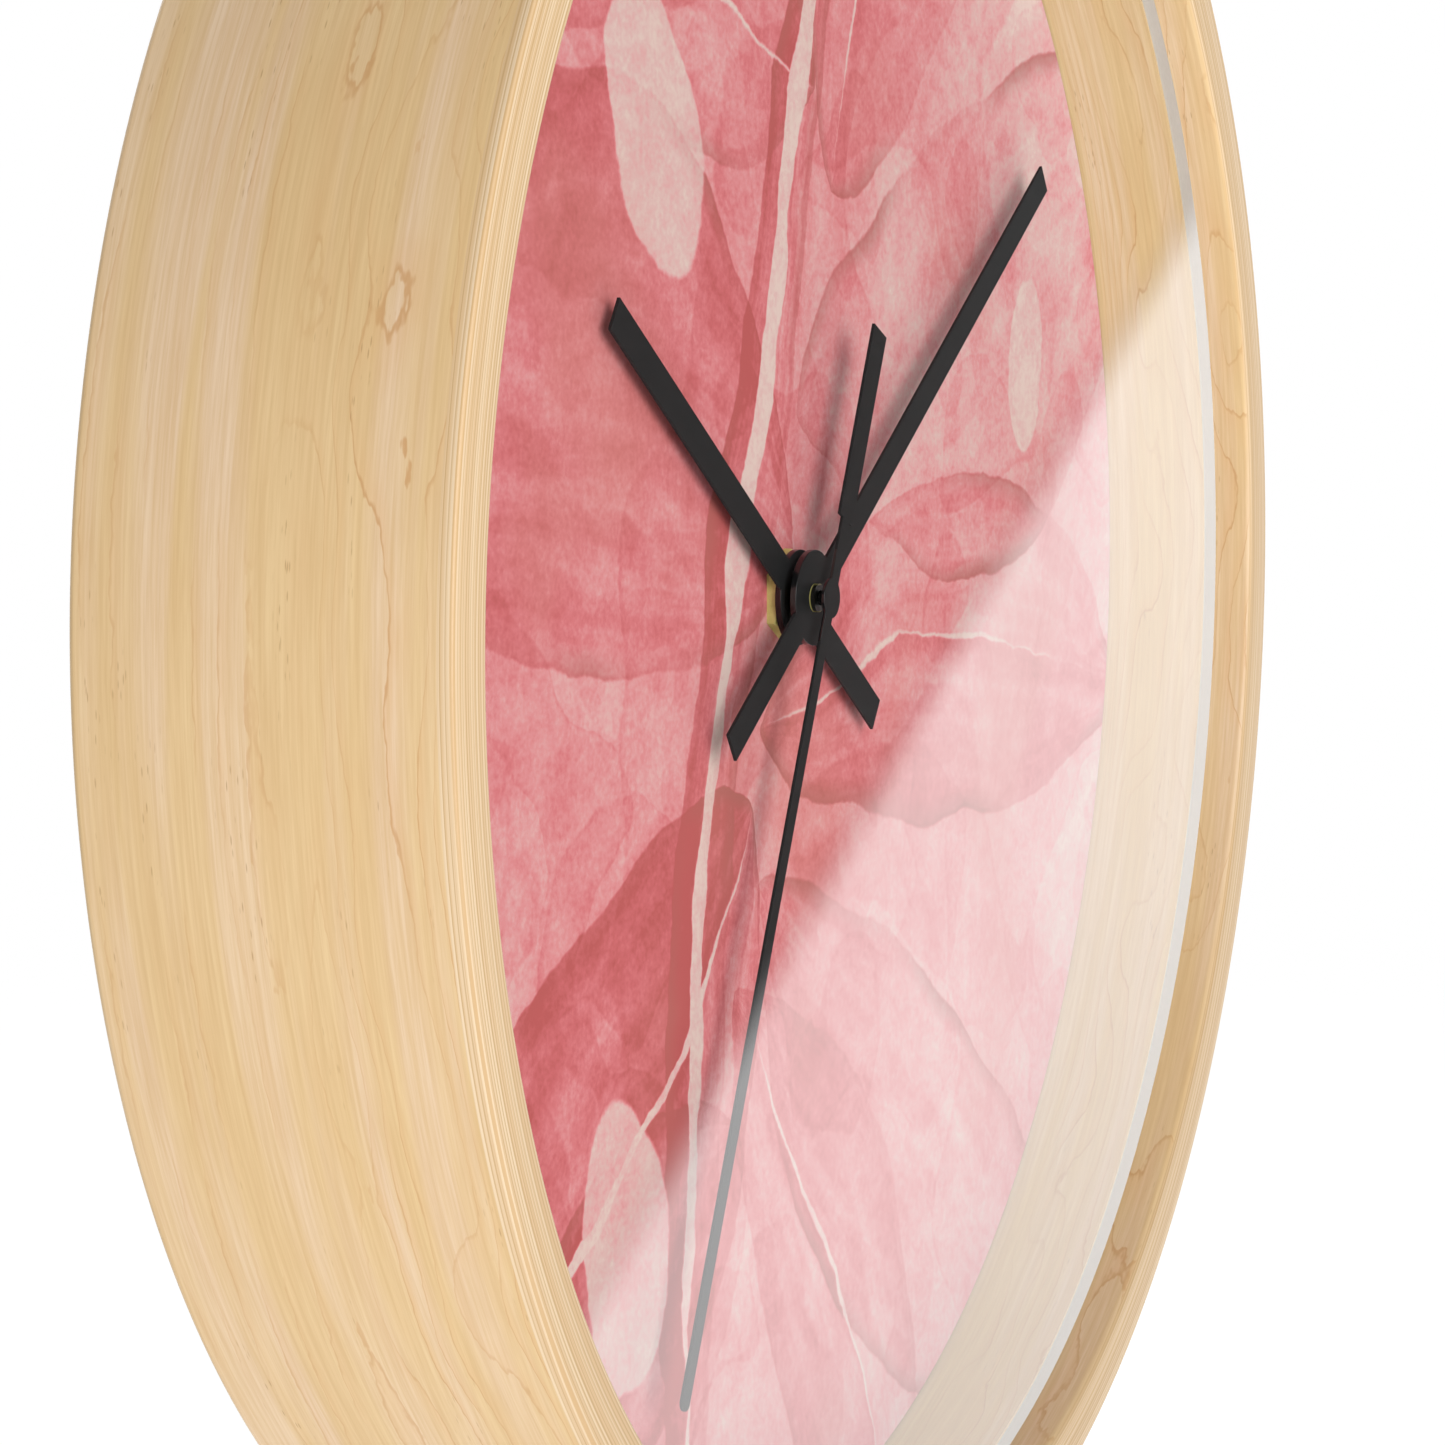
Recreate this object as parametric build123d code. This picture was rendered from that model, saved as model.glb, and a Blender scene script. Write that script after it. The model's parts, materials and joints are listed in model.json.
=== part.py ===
from build123d import *
from math import atan2, cos, degrees, radians, sin
import os

# Round wall clock: a bent maple rim with a clear front, a printed dial and a quartz movement.
# Millimetres. +Z is up and the clock faces -Y. The origin is on the hands' axis, in the rear plane
# that lies against the wall. A "depth" is the distance in front of that plane, so y = -depth.

# Rim
RIM_RADIUS = 127.0
RIM_DEPTH = 43.8
BORE_RADIUS = 118.85
FRONT_CORNER = 0.6
BACK_CORNER = 1.0
INNER_CORNER = 1.0

# Clear front, seated on the shoulder where the bore widens
LENS_SEAT = 36.9
LENS_THICKNESS = 1.7
LENS_POCKET_RADIUS = 119.6
LENS_RADIUS = 119.45

# Dial
DIAL_FACE = 22.5
PAPER_THICKNESS = 0.3
BOARD_THICKNESS = 3.0
DIAL_RADIUS = 118.6
DIAL_HOLE_RADIUS = 4.2
BOARD_FRONT = DIAL_FACE - PAPER_THICKNESS
BOARD_BACK = BOARD_FRONT - BOARD_THICKNESS

# Retaining ring behind the dial board
RETAINER_INNER_RADIUS = 111.6
RETAINER_OUTER_RADIUS = 118.75
RETAINER_THICKNESS = 6.0
RETAINER_BACK = BOARD_BACK - RETAINER_THICKNESS
RETAINER_SCREWS = 6
RETAINER_SCREW_CIRCLE = 115.2

# Wood screws
SCREW_SHANK_RADIUS = 1.25
SCREW_HOLE_RADIUS = 1.3
SCREW_HEAD_RADIUS = 2.8
SCREW_HEAD_HEIGHT = 1.6
SCREW_LENGTH = 8.0
SCREW_HEAD_ROUND = 0.8
SCREW_SLOT_WIDTH = 0.6
SCREW_SLOT_DEPTH = 1.0

# Hanger
BLOCK_WIDTH = 50.0
BLOCK_BOTTOM = 99.0
BLOCK_BACK = 5.0
PLATE_THICKNESS = 1.0
PLATE_WIDTH = 16.0
PLATE_TOP = 114.0
EYE_HEIGHT = 90.0
EYE_RADIUS = 3.0
HANGER_SCREW_HEIGHTS = (103.0, 110.0)

# Running clearances
RUN = 0.08
PIVOT_RUN = 0.06
PRESS_GAP = 0.01
SAME = 0.001

# Movement case
CASE_HALF = 28.0
CASE_CORNER = 3.0
CASE_WALL = 1.2
CASE_FRONT = 18.2
CASE_BACK = 2.1
CASE_INNER = CASE_HALF - CASE_WALL
CASE_FLOOR = CASE_FRONT - CASE_WALL
COVER_INNER = CASE_BACK + CASE_WALL
COVER_GAP = 0.1
PARTITION_TOP = -10.4
PARTITION_BOTTOM = PARTITION_TOP - CASE_WALL
STEM_RADIUS = 4.0
STEM_FRONT = 23.75
NUT_ACROSS_FLATS = 10.4
NUT_BORE_RADIUS = 4.05
NUT_CHAMFER = 0.3
WASHER_RADIUS = 10.0

# Middle plate
PLATE_BACK = 10.9
PLATE_FRONT = 11.9
PLATE_HALF = 26.4
PLATE_BOTTOM = -10.0
PLATE_POSTS = ((-24.5, 24.5), (24.5, 24.5), (-24.5, -8.2), (24.5, -8.2))
PLATE_POST_RADIUS = 1.5
CLAMP_POSTS = ((-24.5, 24.5), (-24.5, -8.2))
CLAMP_POST_RADIUS = 1.2

# Hands: clock angles in degrees, clockwise from twelve as seen from the front
HUB_RADIUS = 5.9
HAND_THICKNESS = 0.4
HOUR_ANGLE = 303.8
HOUR_FRONT = 24.7
HOUR_LENGTH = 62.4
HOUR_WIDTH = 4.3
MINUTE_ANGLE = 56.0
MINUTE_FRONT = 26.7
MINUTE_LENGTH = 95.7
MINUTE_WIDTH = 4.0
HAND_TAIL = 29.5
HUB_THICKNESS = 0.8
SECOND_ANGLE = 205.0
SECOND_FRONT = 29.0
SECOND_LENGTH = 101.6
SECOND_WIDTH = 2.2
SECOND_HUB_RADIUS = 2.5
COUNTERWEIGHT_START = 10.4
COUNTERWEIGHT_END = 36.1
COUNTERWEIGHT_WIDTH = 4.3

# Tubes and arbors
HOUR_TUBE_RADIUS = 2.55
HOUR_TUBE_FRONT = 24.9
MINUTE_TUBE_RADIUS = 1.75
MINUTE_TUBE_FRONT = 27.3
SECOND_ARBOR_RADIUS = 0.5
SECOND_ARBOR_FRONT = 28.5
SECOND_TUBE_RADIUS = 0.95
SECOND_TUBE_BACK = 27.4
ARBOR_RADIUS = 0.6
PIVOT_RADIUS = 0.4
PIVOT_BACK = 3.9
PIVOT_SHOULDER = 4.4
PIVOT_BOSS_RADIUS = 1.5
PIVOT_BOSS_HEIGHT = 1.0
PIVOT_HOLE_DEPTH = 0.7

# Gear teeth, as shares of the circular pitch and of the module
TOOTH_TIP_SHARE = 0.18
TOOTH_ROOT_SHARE = 0.50
ADDENDUM = 0.75
DEDENDUM = 1.15

# Tooth counts: rotor 8 > 40, 10 > 60 gives 30:1, 8 > 60, 8 > 64 gives 60:1, 12 > 36, 10 > 40 gives 12:1
ROTOR_TEETH = 8
INTERMEDIATE_TEETH = 40
INTERMEDIATE_PINION_TEETH = 10
SECOND_TEETH = 60
SECOND_PINION_TEETH = 8
THIRD_TEETH = 60
THIRD_PINION_TEETH = 8
MINUTE_TEETH = 64
CANNON_TEETH = 12
MOTION_TEETH = 36
MOTION_PINION_TEETH = 10
HOUR_TEETH = 40
KNOB_TEETH = 12

# Axes in the movement, as distance and direction from the hands' axis or from the axis before it
THIRD_DISTANCE = 10.2
THIRD_DIRECTION = 145.0
INTERMEDIATE_DISTANCE = 10.5
INTERMEDIATE_DIRECTION = -20.0
ROTOR_DISTANCE = 7.2
ROTOR_DIRECTION = -10.0
MOTION_DISTANCE = 9.6
MOTION_DIRECTION = 60.0
KNOB_DISTANCE = 9.6
KNOB_DIRECTION = 40.0

# Depth ranges of the wheels, back to front
ROTOR_PINION = (5.2, 6.5)
ROTOR_MAGNET = (6.5, 8.1)
INTERMEDIATE_WHEEL = (5.5, 6.2)
INTERMEDIATE_PINION = (7.0, 8.6)
SECOND_WHEEL = (7.4, 8.2)
SECOND_PINION = (8.7, 10.6)
THIRD_WHEEL = (9.2, 10.0)
THIRD_PINION = (12.5, 13.8)
MINUTE_WHEEL = (12.7, 13.4)
MINUTE_HUB_BACK = 12.2
CANNON_BACK = 12.0
CANNON_SHOULDER = (13.6, 14.0)
CANNON_PINION = (14.0, 15.3)
MOTION_WHEEL = (14.2, 15.0)
MOTION_PINION = (15.0, 16.7)
MOTION_POST_BACK = 13.75
HOUR_WHEEL = (15.6, 16.5)
KNOB_PINION = (14.0, 15.2)
CANNON_SLEEVE_RADIUS = 2.0
CANNON_SHOULDER_RADIUS = 2.6
MINUTE_HUB_RADIUS = 3.2
MOTION_POST_RADIUS = 0.8
WHEEL_HUB_RADIUS = 2.2
WHEEL_WINDOWS = 5
WHEEL_WINDOW_SHARE = 0.34

# Setting knob
KNOB_SHAFT_RADIUS = 1.2
KNOB_HEAD = (0.4, 1.9)
KNOB_HEAD_RADIUS = 5.5
KNOB_FLUTES = 18
KNOB_FLUTE_RADIUS = 0.5
KNOB_PIVOT_RADIUS = 0.8
KNOB_PIVOT_FRONT = 16.6
KNOB_SHOULDER = 15.6
KNOB_BOSS_RADIUS = 2.0
KNOB_BOSS_BACK = 15.8

# Motor: rotor magnet, stator loop and coil
MAGNET_RADIUS = 3.0
STATOR_BORE_RADIUS = 3.45
STATOR_RING_RADIUS = 5.0
STATOR = (6.8, 7.8)
STATOR_TOP = 26.0
COIL_X = 22.5
COIL_LEG_WIDTH = 3.0
STATOR_ARM_WIDTH = 2.6
STATOR_ARM_X = 15.3
STATOR_BRIDGE = 2.4
STATOR_FOOT_Z = -6.0
STATOR_FOOT_WIDTH = 2.9
BOBBIN_BOTTOM = 1.2
BOBBIN_TOP = 22.3
BOBBIN_FLANGE = 0.8
BOBBIN_HALF = 3.45
BOBBIN_CORNER = 1.0
BOBBIN_BARREL_RADIUS = 2.35
BOBBIN_CORE_GAP = 0.05
WINDING_RADIUS = 3.2
STATOR_POSTS = ((STATOR_ARM_X, 24.7), (COIL_X, STATOR_FOOT_Z))
STATOR_POST_RADIUS = 0.9

# Circuit board, on the back of the middle plate
CIRCUIT_LEFT = -20.0
CIRCUIT_RIGHT = 8.0
CIRCUIT_BOTTOM = 17.2
CIRCUIT_TOP = 26.0
CIRCUIT_THICKNESS = 0.9
CIRCUIT_BACK = PLATE_BACK - CIRCUIT_THICKNESS
CHIP_RADIUS = 2.6
CHIP_HEIGHT = 1.1
CHIP_ROUND = 0.9
CHIP_PLACE = (-3.0, 21.6)
CRYSTAL_RADIUS = 1.0
CRYSTAL_LENGTH = 6.0
CRYSTAL_ROUND = 0.3
CRYSTAL_PLACE = (-13.0, 22.6)

# Battery (AA size) and its contacts
CELL_RADIUS = 7.1
CELL_LEFT = -25.25
CELL_SHOULDER = 24.25
CELL_NUB = 25.25
CELL_NUB_RADIUS = 2.75
CELL_EDGE = 0.8
CELL_Z = -19.4
CELL_DEPTH = 9.7
CONTACT_THICKNESS = 0.3
CONTACT_WALL_GAP = 0.05
CONTACT_WIDTH = 9.0
CONTACT_BACK = 4.0
CONTACT_FRONT = 15.5
CONTACT_GAP = 0.1
CONTACT_BUMP_RADIUS = 2.2
SPRING_TURNS = 3
SPRING_OUTER_RADIUS = 4.2
SPRING_STEP = 0.8
SPRING_WIRE = 1.2


def polar(distance, direction, start=(0.0, 0.0)):
    """Point at a distance and direction (degrees, anticlockwise from +X seen from the front)."""
    angle = radians(direction)
    return (start[0] + distance * cos(angle), start[1] + distance * sin(angle))


def bearing(a, b):
    """Direction in degrees from point a to point b."""
    return degrees(atan2(b[1] - a[1], b[0] - a[0]))


CENTRE = (0.0, 0.0)
THIRD = polar(THIRD_DISTANCE, THIRD_DIRECTION)
INTERMEDIATE = polar(INTERMEDIATE_DISTANCE, INTERMEDIATE_DIRECTION)
ROTOR = polar(ROTOR_DISTANCE, ROTOR_DIRECTION, INTERMEDIATE)
MOTION = polar(MOTION_DISTANCE, MOTION_DIRECTION)
KNOB = polar(KNOB_DISTANCE, KNOB_DIRECTION, MOTION)


def facing(place, depth):
    """Sketch plane that faces the viewer: its axes run along +X and +Z, its normal along -Y."""
    return Plane(origin=(place[0], -depth, place[1]), x_dir=(1, 0, 0), z_dir=(0, -1, 0))


def slab(sketch, back, front, place=CENTRE):
    """Extrude a sketch between two depths."""
    return extrude(facing(place, back) * sketch, amount=front - back)


def rod(radius, back, front, place=CENTRE):
    return slab(Circle(radius), back, front, place)


def tube(outer, inner, back, front, place=CENTRE):
    return slab(Circle(outer) - Circle(inner), back, front, place)


def box(left, right, bottom, top, back, front):
    """Block between the given X, Z and depth limits."""
    middle = ((left + right) / 2, (bottom + top) / 2)
    return slab(Rectangle(right - left, top - bottom), back, front, middle)


def turned(profile):
    """Solid of revolution about the hands' axis from (radius, depth) points."""
    points = [(radius, -depth) for radius, depth in profile]
    return revolve(make_face(Polyline(*points, close=True)), Axis.Y, 360)


def circles_at(solid, radius, depth):
    """Circular edges of a turned solid with this radius at this depth."""
    return [
        edge
        for edge in solid.edges().filter_by(GeomType.CIRCLE)
        if abs(edge.radius - radius) < SAME and abs(edge.center().Y + depth) < SAME
    ]


def cylinder_along_x(radius, left, right, z, depth):
    """Round bar that lies along X."""
    plane = Plane(origin=(left, -depth, z), x_dir=(0, 1, 0), z_dir=(1, 0, 0))
    return extrude(plane * Circle(radius), amount=right - left)


def module_for(distance, teeth_a, teeth_b):
    """Gear module that puts two wheels in mesh at this centre distance."""
    return 2 * distance / (teeth_a + teeth_b)


def gear_sketch(teeth, module, tooth_at):
    """Toothed outline with the centre of one tooth at the given direction."""
    pitch = 360 / teeth
    radius = module * teeth / 2
    root = radius - DEDENDUM * module
    tip = radius + ADDENDUM * module
    corners = (
        (-TOOTH_ROOT_SHARE / 2, root),
        (-TOOTH_TIP_SHARE / 2, tip),
        (TOOTH_TIP_SHARE / 2, tip),
        (TOOTH_ROOT_SHARE / 2, root),
    )
    points = []
    for tooth in range(teeth):
        for share, distance in corners:
            points.append(polar(distance, tooth_at + (tooth + share) * pitch))
    return make_face(Polyline(*points, close=True))


def lightened(sketch, root_radius):
    """Cut round windows between a wheel's hub and its rim."""
    middle = (root_radius + WHEEL_HUB_RADIUS) / 2
    window = (root_radius - WHEEL_HUB_RADIUS) * WHEEL_WINDOW_SHARE
    for index in range(WHEEL_WINDOWS):
        sketch -= Pos(*polar(middle, 90 + index * 360 / WHEEL_WINDOWS)) * Circle(window)
    return sketch


def gear(teeth, module, tooth_at, layer, place=CENTRE, windows=False):
    sketch = gear_sketch(teeth, module, tooth_at)
    if windows:
        sketch = lightened(sketch, module * teeth / 2 - DEDENDUM * module)
    return slab(sketch, layer[0], layer[1], place)


def driver_tooth(a, b):
    """Tooth direction of the gear at a: one tooth points at b."""
    return bearing(a, b)


def driven_tooth(a, b, teeth):
    """Tooth direction of the gear at b: a gap points at a."""
    return bearing(b, a) + 180 / teeth


def staff(place, front_pivot, shoulder, radius=ARBOR_RADIUS):
    """Arbor with a thin pivot at each end."""
    pivots = rod(PIVOT_RADIUS, PIVOT_BACK, front_pivot, place)
    return pivots + rod(radius, PIVOT_SHOULDER, shoulder, place)


# Rim, front and dial

def make_rim():
    """Bent plywood ring, with a wider pocket at the front for the clear disc."""
    ring = turned((
        (BORE_RADIUS, 0),
        (RIM_RADIUS, 0),
        (RIM_RADIUS, RIM_DEPTH),
        (LENS_POCKET_RADIUS, RIM_DEPTH),
        (LENS_POCKET_RADIUS, LENS_SEAT),
        (BORE_RADIUS, LENS_SEAT),
    ))
    ring = fillet(circles_at(ring, RIM_RADIUS, RIM_DEPTH), FRONT_CORNER)
    ring = fillet(circles_at(ring, RIM_RADIUS, 0), BACK_CORNER)
    return fillet(circles_at(ring, LENS_POCKET_RADIUS, RIM_DEPTH), INNER_CORNER)


def make_lens():
    return rod(LENS_RADIUS, LENS_SEAT, LENS_SEAT + LENS_THICKNESS)


def make_dial_print():
    return tube(DIAL_RADIUS, DIAL_HOLE_RADIUS, BOARD_FRONT, DIAL_FACE)


def retainer_screw_places():
    """Evenly spaced, with none behind the hanger block at the top."""
    return [polar(RETAINER_SCREW_CIRCLE, index * 360 / RETAINER_SCREWS) for index in range(RETAINER_SCREWS)]


def make_dial_board():
    board = tube(DIAL_RADIUS, DIAL_HOLE_RADIUS, BOARD_BACK, BOARD_FRONT)
    hole_front = RETAINER_BACK + SCREW_LENGTH + PIVOT_RUN
    for place in retainer_screw_places():
        board -= rod(SCREW_HOLE_RADIUS, BOARD_BACK, hole_front, place)
    return board


def make_retainer():
    ring = tube(RETAINER_OUTER_RADIUS, RETAINER_INNER_RADIUS, RETAINER_BACK, BOARD_BACK)
    for place in retainer_screw_places():
        ring -= rod(SCREW_HOLE_RADIUS, RETAINER_BACK, BOARD_BACK, place)
    return ring


def wood_screw(place, seat):
    """Pan head screw driven from the back, its head's underside at the seat depth."""
    head_back = seat - SCREW_HEAD_HEIGHT
    head = rod(SCREW_HEAD_RADIUS, head_back, seat, place)
    head = fillet(head.edges().sort_by(Axis.Y)[-1], SCREW_HEAD_ROUND)
    slot = Rectangle(SCREW_HEAD_RADIUS, SCREW_SLOT_WIDTH)
    cross = slot + Rot(0, 0, 90) * slot
    head -= slab(cross, head_back, head_back + SCREW_SLOT_DEPTH, place)
    return head + rod(SCREW_SHANK_RADIUS, seat, seat + SCREW_LENGTH, place)


def make_dial_screws():
    return Compound([wood_screw(place, RETAINER_BACK) for place in retainer_screw_places()])


# Hanger

def hanger_screw_places():
    return [(0.0, height) for height in HANGER_SCREW_HEIGHTS]


def make_hanger_block():
    outline = Pos(0, BLOCK_BOTTOM + BLOCK_WIDTH / 2) * Rectangle(BLOCK_WIDTH, BLOCK_WIDTH)
    block = slab(outline & Circle(RETAINER_OUTER_RADIUS), BLOCK_BACK, RETAINER_BACK)
    hole_front = BLOCK_BACK - PLATE_THICKNESS + SCREW_LENGTH + PIVOT_RUN
    screws = [rod(SCREW_HOLE_RADIUS, BLOCK_BACK, hole_front, place) for place in hanger_screw_places()]
    return block - screws


def make_hanger_plate():
    middle = (EYE_HEIGHT + PLATE_TOP - PLATE_WIDTH / 2) / 2
    length = PLATE_TOP - PLATE_WIDTH / 2 - EYE_HEIGHT + PLATE_WIDTH
    strap = Pos(0, middle) * SlotOverall(length, PLATE_WIDTH, rotation=90)
    strap -= Pos(0, EYE_HEIGHT) * Circle(EYE_RADIUS)
    for place in hanger_screw_places():
        strap -= Pos(*place) * Circle(SCREW_HOLE_RADIUS)
    return slab(strap, BLOCK_BACK - PLATE_THICKNESS, BLOCK_BACK)


def make_hanger_screws():
    seat = BLOCK_BACK - PLATE_THICKNESS
    return Compound([wood_screw(place, seat) for place in hanger_screw_places()])


# Movement case

def make_washer():
    return tube(WASHER_RADIUS, DIAL_HOLE_RADIUS, CASE_FRONT, BOARD_BACK)


def make_nut():
    across_corners = NUT_ACROSS_FLATS / cos(radians(30))
    hexagon = RegularPolygon(across_corners / 2, 6, rotation=30)
    nut = slab(hexagon - Circle(NUT_BORE_RADIUS), DIAL_FACE, STEM_FRONT)
    blank = rod(across_corners / 2, DIAL_FACE, STEM_FRONT)
    return nut & chamfer(blank.edges().sort_by(Axis.Y)[0], NUT_CHAMFER)


def make_case():
    """Front half of the movement: an open box with the threaded stem, posts and a battery bay."""
    side = 2 * CASE_HALF
    shell = slab(RectangleRounded(side, side, CASE_CORNER), CASE_BACK, CASE_FRONT)
    inside = 2 * CASE_INNER
    shell -= slab(RectangleRounded(inside, inside, CASE_CORNER - CASE_WALL), CASE_BACK, CASE_FLOOR)
    shell += box(-CASE_INNER, CASE_INNER, PARTITION_BOTTOM, PARTITION_TOP, COVER_INNER, CASE_FLOOR)
    shell += rod(STEM_RADIUS, CASE_FLOOR, STEM_FRONT)
    for place in PLATE_POSTS:
        shell += rod(PLATE_POST_RADIUS, PLATE_FRONT, CASE_FLOOR, place)
    shell += rod(MOTION_POST_RADIUS, MOTION_POST_BACK, CASE_FLOOR, MOTION)
    third_boss_back = THIRD_PINION[1] + PIVOT_BOSS_HEIGHT
    shell += rod(PIVOT_BOSS_RADIUS, third_boss_back, CASE_FLOOR, THIRD)
    shell -= rod(PIVOT_RADIUS + PIVOT_RUN, third_boss_back, third_boss_back + PIVOT_HOLE_DEPTH, THIRD)
    shell += rod(KNOB_BOSS_RADIUS, KNOB_BOSS_BACK, CASE_FLOOR, KNOB)
    shell -= rod(KNOB_PIVOT_RADIUS + PIVOT_RUN, KNOB_BOSS_BACK, KNOB_PIVOT_FRONT + PIVOT_RUN, KNOB)
    return shell - rod(HOUR_TUBE_RADIUS + RUN, CASE_FLOOR, STEM_FRONT)


def make_cover():
    """Rear cover over the gears, with pivot holes, clamp posts and the knob's hole."""
    inner = CASE_INNER - COVER_GAP
    cover = box(-inner, inner, PARTITION_BOTTOM, inner, CASE_BACK, COVER_INNER)
    corners = cover.edges().filter_by(Axis.Y).group_by(Axis.Z)[-1]
    cover = fillet(corners, CASE_CORNER - CASE_WALL)
    for place in (CENTRE, THIRD, INTERMEDIATE, ROTOR):
        boss_front = COVER_INNER + PIVOT_BOSS_HEIGHT
        cover += rod(PIVOT_BOSS_RADIUS, COVER_INNER, boss_front, place)
        cover -= rod(PIVOT_RADIUS + PIVOT_RUN, boss_front - PIVOT_HOLE_DEPTH, boss_front, place)
    for place in CLAMP_POSTS:
        cover += rod(CLAMP_POST_RADIUS, COVER_INNER, PLATE_BACK, place)
    for place in STATOR_POSTS:
        cover += rod(STATOR_POST_RADIUS, COVER_INNER, STATOR[0], place)
    return cover - rod(KNOB_SHAFT_RADIUS + RUN, CASE_BACK, COVER_INNER, KNOB)


def make_middle_plate():
    """Plate between the two halves of the train; it carries pivots, the stator and the circuit."""
    height = PLATE_HALF - PLATE_BOTTOM
    outline = Pos(0, PLATE_BOTTOM + height / 2) * RectangleRounded(2 * PLATE_HALF, height, CASE_CORNER)
    plate = slab(outline, PLATE_BACK, PLATE_FRONT)
    for place in STATOR_POSTS:
        plate += rod(STATOR_POST_RADIUS, STATOR[1], PLATE_BACK, place)
    bores = (
        (CENTRE, SECOND_ARBOR_RADIUS + RUN),
        (THIRD, ARBOR_RADIUS + RUN),
        (INTERMEDIATE, PIVOT_RADIUS + PIVOT_RUN),
        (ROTOR, PIVOT_RADIUS + PIVOT_RUN),
        (KNOB, KNOB_SHAFT_RADIUS + RUN),
    )
    for place, radius in bores:
        plate -= rod(radius, PLATE_BACK, PLATE_FRONT, place)
    return plate


# Electrical parts

def make_circuit_board():
    return box(CIRCUIT_LEFT, CIRCUIT_RIGHT, CIRCUIT_BOTTOM, CIRCUIT_TOP, CIRCUIT_BACK, PLATE_BACK)


def make_chip():
    blob = rod(CHIP_RADIUS, CIRCUIT_BACK - CHIP_HEIGHT, CIRCUIT_BACK, CHIP_PLACE)
    return fillet(blob.edges().sort_by(Axis.Y)[-1], CHIP_ROUND)


def make_crystal():
    x, z = CRYSTAL_PLACE
    depth = CIRCUIT_BACK - CRYSTAL_RADIUS
    can = cylinder_along_x(CRYSTAL_RADIUS, x - CRYSTAL_LENGTH / 2, x + CRYSTAL_LENGTH / 2, z, depth)
    return fillet(can.edges().filter_by(GeomType.CIRCLE), CRYSTAL_ROUND)


def make_stator():
    """Flat iron loop: a bored ring round the magnet, an arm, a bridge and the coil's leg."""
    leg_height = STATOR_TOP - STATOR_FOOT_Z
    leg_middle = (STATOR_TOP + STATOR_FOOT_Z) / 2
    arm_height = STATOR_TOP - ROTOR[1]
    arm_middle = (STATOR_TOP + ROTOR[1]) / 2
    loop = Pos(*ROTOR) * Circle(STATOR_RING_RADIUS)
    loop += Pos(COIL_X, leg_middle) * Rectangle(COIL_LEG_WIDTH, leg_height)
    loop += Pos(STATOR_ARM_X, arm_middle) * Rectangle(STATOR_ARM_WIDTH, arm_height)
    span = COIL_X - STATOR_ARM_X
    bridge_width = span + COIL_LEG_WIDTH / 2 + STATOR_ARM_WIDTH / 2
    bridge_x = (COIL_X + COIL_LEG_WIDTH / 2 + STATOR_ARM_X - STATOR_ARM_WIDTH / 2) / 2
    loop += Pos(bridge_x, STATOR_TOP - STATOR_BRIDGE / 2) * Rectangle(bridge_width, STATOR_BRIDGE)
    foot_width = COIL_X + COIL_LEG_WIDTH / 2 - ROTOR[0]
    foot_x = ROTOR[0] + foot_width / 2
    loop += Pos(foot_x, STATOR_FOOT_Z) * Rectangle(foot_width, STATOR_FOOT_WIDTH)
    loop -= Pos(*ROTOR) * Circle(STATOR_BORE_RADIUS)
    return slab(loop, STATOR[0], STATOR[1])


def make_bobbin():
    """Plastic spool round the stator's leg."""
    depth = (STATOR[0] + STATOR[1]) / 2
    base = Plane(origin=(COIL_X, -depth, BOBBIN_BOTTOM), x_dir=(1, 0, 0), z_dir=(0, 0, 1))
    length = BOBBIN_TOP - BOBBIN_BOTTOM
    flange = RectangleRounded(2 * BOBBIN_HALF, 2 * BOBBIN_HALF, BOBBIN_CORNER)
    spool = extrude(base * Circle(BOBBIN_BARREL_RADIUS), amount=length)
    spool += extrude(base * flange, amount=BOBBIN_FLANGE)
    spool += extrude(base.offset(length - BOBBIN_FLANGE) * flange, amount=BOBBIN_FLANGE)
    thickness = STATOR[1] - STATOR[0]
    core = Rectangle(COIL_LEG_WIDTH + 2 * BOBBIN_CORE_GAP, thickness + 2 * BOBBIN_CORE_GAP)
    return spool - extrude(base * core, amount=length)


def make_winding():
    depth = (STATOR[0] + STATOR[1]) / 2
    bottom = BOBBIN_BOTTOM + BOBBIN_FLANGE
    base = Plane(origin=(COIL_X, -depth, bottom), x_dir=(1, 0, 0), z_dir=(0, 0, 1))
    ring = Circle(WINDING_RADIUS) - Circle(BOBBIN_BARREL_RADIUS + PRESS_GAP)
    return extrude(base * ring, amount=BOBBIN_TOP - BOBBIN_BOTTOM - 2 * BOBBIN_FLANGE)


def contact_plate(left):
    """Flat strip against a side wall of the battery bay."""
    half = CONTACT_WIDTH / 2
    return box(left, left + CONTACT_THICKNESS, CELL_Z - half, CELL_Z + half, CONTACT_BACK, CONTACT_FRONT)


def make_positive_contact():
    left = CASE_INNER - CONTACT_WALL_GAP - CONTACT_THICKNESS
    bump = cylinder_along_x(CONTACT_BUMP_RADIUS, CELL_NUB + CONTACT_GAP, left, CELL_Z, CELL_DEPTH)
    return contact_plate(left) + bump


def make_negative_contact():
    """Strip with a conical spring, modelled as stepped rings, that presses on the cell."""
    left = -CASE_INNER + CONTACT_WALL_GAP
    right = left + CONTACT_THICKNESS
    contact = contact_plate(left)
    rise = (CELL_LEFT - CONTACT_GAP - right) / SPRING_TURNS
    for turn in range(SPRING_TURNS):
        radius = SPRING_OUTER_RADIUS - turn * SPRING_STEP
        start = right + turn * rise
        ring = cylinder_along_x(radius, start, start + rise, CELL_Z, CELL_DEPTH)
        contact += ring - cylinder_along_x(radius - SPRING_WIRE, start, start + rise, CELL_Z, CELL_DEPTH)
    return contact


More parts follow.
